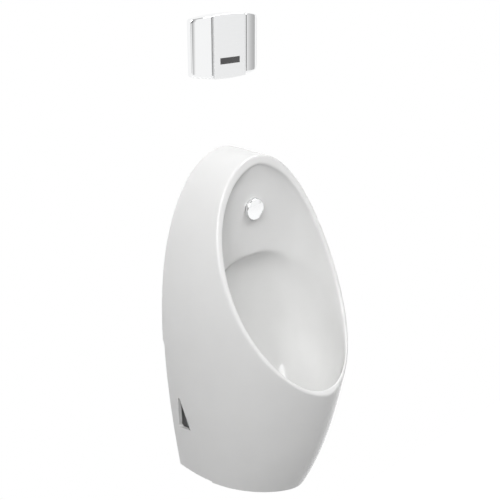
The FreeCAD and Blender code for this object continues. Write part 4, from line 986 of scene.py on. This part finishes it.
# %% The cover
cover_mesh = bmesh.new()
sheet(cover_mesh, swept(wing(), COVER_FLAT, 0.0, PLATE_ROLL))
merge(cover_mesh)
bmesh.ops.dissolve_degenerate(cover_mesh, edges=cover_mesh.edges, dist=NEAR / 2)
face_outwards(cover_mesh)
bmesh.ops.solidify(cover_mesh, geom=cover_mesh.faces[:], thickness=COVER_WALL * MM)
cover_mesh = combined(cover_mesh, ("DIFFERENCE", [window_box(WINDOW_GAP, 0, PANEL_FACE)]))
piece("plate_cover", cover_mesh, "chrome_plate", ["cover_shell"], "cover", PLATE_SHARP)

# %% The panel
panel_mesh = bmesh.new()
sheet(panel_mesh, swept(panel_side(), PANEL_FLAT, COVER_FACE, PANEL_ROLL))
merge(panel_mesh)
bmesh.ops.edgeloop_fill(panel_mesh, edges=open_edges(panel_mesh))
panel_mesh = combined(panel_mesh, ("DIFFERENCE", [window_box(WINDOW_GAP, 0, 2 * PANEL_FACE)]))
piece("plate_panel", panel_mesh, "brushed_panel", ["centre_panel"], "cover", PLATE_SHARP)

# %% [markdown]
# The window is a block whose front edges are rounded. Its back face grows into a flange, which
# holds it behind the cover: the face is drawn out level, widened, and drawn out again backwards.

# %% The window and its flange
window_mesh = bmesh.new()
shape, *values = window_box(0, COVER_FACE - COVER_WALL, WINDOW_FACE)
shape(window_mesh, *values)
face_outwards(window_mesh)
front_face = min(window_mesh.faces, key=lambda f: f.calc_center_median().y)
bmesh.ops.bevel(window_mesh, geom=front_face.edges[:], affect="EDGES", offset=WINDOW_ROUND * MM,
                segments=4, profile=0.5, material=-1)
back_face = max(window_mesh.faces, key=lambda f: f.calc_center_median().y)
for grow, back in ((WINDOW_FLANGE, 0.0), (0.0, FLANGE_THICK)):
    middle = back_face.calc_center_median()
    back_face = bmesh.ops.extrude_discrete_faces(window_mesh, faces=[back_face])["faces"][0]
    for v in back_face.verts:
        v.co.x += math.copysign(grow * MM, v.co.x - middle.x)
        v.co.z += math.copysign(grow * MM, v.co.z - middle.z)
        v.co.y += back * MM
piece("plate_window", window_mesh, "smoked_window", ["sensor_window"], "cover")

# %% [markdown]
# ## Camera
# The photograph was taken from the object's left, a little above it. Azimuth and elevation say
# where the camera stands, and the focal length is given as a share of the picture's width.

# %% Camera at the photograph's angle
AZIMUTH, ELEVATION = math.radians(-42.2), math.radians(20.4)
FOCAL_PIXELS, PICTURE_PIXELS, SENSOR_WIDTH = 874.8, 500, 36
CAMERA_PLACE = Vector((-1.16465, -1.36974, 0.56844))

back = Vector((math.sin(AZIMUTH) * math.cos(ELEVATION),
               -math.cos(AZIMUTH) * math.cos(ELEVATION), math.sin(ELEVATION)))
right = Vector((math.cos(AZIMUTH), math.sin(AZIMUTH), 0))
lens = bpy.data.cameras.new("camera")
lens.sensor_width, lens.lens = SENSOR_WIDTH, SENSOR_WIDTH * (FOCAL_PIXELS / PICTURE_PIXELS)
camera = in_scene("camera", lens)
facing = Matrix((right, back.cross(right), back)).transposed().to_4x4()
camera.matrix_world = Matrix.Translation(CAMERA_PLACE) @ facing
bpy.context.scene.camera = camera
print("camera's lens", round(lens.lens, 1), "mm")

# %% [markdown]
# ## Wall, floor and light
# The object hangs on a plain wall above a plain floor. Both glow white to the eye and to mirror
# rays, and stay plain pale surfaces for the light itself, so the background is white while the
# object is lit at a plain level and the floor keeps a soft shadow. A patch of the wall inside the
# body's hollow doesn't glow, so the slots in the sides look into shade. Plated metal shows what
# stands round it, so the room is white to mirror rays too, but for three darker sides: the one
# that the camera is in, the right and the top.

# %% What a ray is, and a pale surface
def seen_ray(network):
    """1 for rays from the eye, a mirror or glass, and 0 for the light's own rays."""
    eye, mirror, glass = (network.node("ShaderNodeLightPath", output=f"Is {kind} Ray")
                          for kind in ("Camera", "Glossy", "Transmission"))
    return eye.math("MAXIMUM", mirror).math("MAXIMUM", glass)


def stage_finish(name, shade, share, strength, clear_behind=False):
    """A pale surface: to the eye, `share` of it is a glow, and the rest keeps the shadows."""
    made = Finish(name, Base_Color=grey(shade), Roughness=0.9)
    glow = made.node("ShaderNodeEmission", values={"Color": grey(1), "Strength": strength})
    shown = made.node("ShaderNodeMixShader", values={
        0: seen_ray(made) * share, 1: Value(made, made.shader.outputs[0]), 2: glow})
    if clear_behind:
        behind = made.node("ShaderNodeNewGeometry", output="Backfacing")
        clear = made.node("ShaderNodeBsdfTransparent")
        shown = made.node("ShaderNodeMixShader", values={0: behind, 1: shown, 2: clear})
    made.surface(shown)
    return made.material


def on_stage(name, material, bm):
    mesh = as_mesh(name, bm)
    mesh.materials.append(material)
    made = in_scene(name, mesh)


def stage_plane(name, material, matrix):
    bm = bmesh.new()
    bmesh.ops.create_grid(bm, x_segments=1, y_segments=1, size=STAGE_HALF, matrix=matrix)
    on_stage(name, material, bm)


# %% The wall and the floor
WALL_GAP, FLOOR_LEVEL, STAGE_HALF = 0.0006, -0.96, 6           # metres
WALL_SHADE, FLOOR_SHADE, FLOOR_SHARE, FLOOR_STRENGTH = 0.5, 0.35, 0.6, 1.6
SHADED_GAP, SHADED_MARGIN, SHADED_ROWS = 0.4, 1.0, 60          # millimetres

standing = Matrix.Rotation(math.pi / 2, 4, "X")
stage_plane("wall", stage_finish("plain_wall", WALL_SHADE, 1.0, 1.0, clear_behind=True),
            Matrix.Translation((0, WALL_GAP, 0)) @ standing)
shaded = bmesh.new()
heights = np.linspace(0, HOLLOW_TOP - SHADED_MARGIN, SHADED_ROWS)
halves = body_half(heights, 0.0, *[SHELL_WALL + SHADED_MARGIN] * 3)
sheet(shaded, [[(-x, SHADED_GAP, z), (x, SHADED_GAP, z)] for x, z in zip(halves, heights)])
on_stage("wall_in_shade", stage_finish("shaded_wall", WALL_SHADE, 0.0, 1.0, clear_behind=True),
         shaded)
stage_plane("floor", stage_finish("plain_floor", FLOOR_SHADE, FLOOR_SHARE, FLOOR_STRENGTH),
            Matrix.Translation((0, 0, FLOOR_LEVEL)))
print("the floor is", round(place(0, 0, 0).z - FLOOR_LEVEL, 2), "m below the body")

# %% Lamps
AIM = Vector((0, -0.15, -0.2))
LAMP_SIZE = 2.0
LAMPS = {"key": ((-1.9, -1.5, 1.7), 62), "front": ((1.3, -1.7, 2.5), 50)}    # place and watts

for name, (spot, power) in LAMPS.items():
    lamp = bpy.data.lights.new(name, "AREA")
    lamp.shape, lamp.size, lamp.energy = "DISK", LAMP_SIZE, power
    made = in_scene(name, lamp)
    made.location = spot
    made.rotation_euler = (AIM - Vector(spot)).to_track_quat("-Z", "Y").to_euler()
print("lamps", list(LAMPS))

# %% The room that metal reflects
ROOM_LIGHT = 0.13
DARK_SIDES = [                 # a direction, where its dark starts and is full, and how dark it is
    (Vector((-0.68, -0.72, 0.15)).normalized(), 0.82, 0.92, 0.9),
    ((1, 0, 0), 0.72, 1.0, 0.55),
    ((0, 0, 1), 0.35, 0.9, 0.6)]

world = bpy.data.worlds.new("studio")
bpy.context.scene.world = world
world.use_nodes = True
room = Network(world.node_tree, "Background")
way = room.node("ShaderNodeTexCoord", output="Generated")


def toward(axis, start, full):
    """Rises from 0 to 1 as a direction turns towards an axis, by the cosine between them."""
    near = room.node("ShaderNodeVectorMath", {"operation": "DOT_PRODUCT"}, {0: way, 1: axis},
                     output="Value")
    return ((near - start) * (1 / (full - start))).math("MAXIMUM", 0.0).math("MINIMUM", 1.0)


dark = sum(toward(axis, start, full) * depth for axis, start, full, depth in DARK_SIDES)
dark = dark.math("MINIMUM", 1.0)
eye = room.node("ShaderNodeLightPath", output="Is Camera Ray")
seen = seen_ray(room)
room.set(Color=grey(1), Strength=seen * (1 - dark * (1 - eye)) + (1 - seen) * ROOM_LIGHT)
bpy.context.scene.view_settings.view_transform = "Standard"
print("room nodes", len(room.tree.nodes))
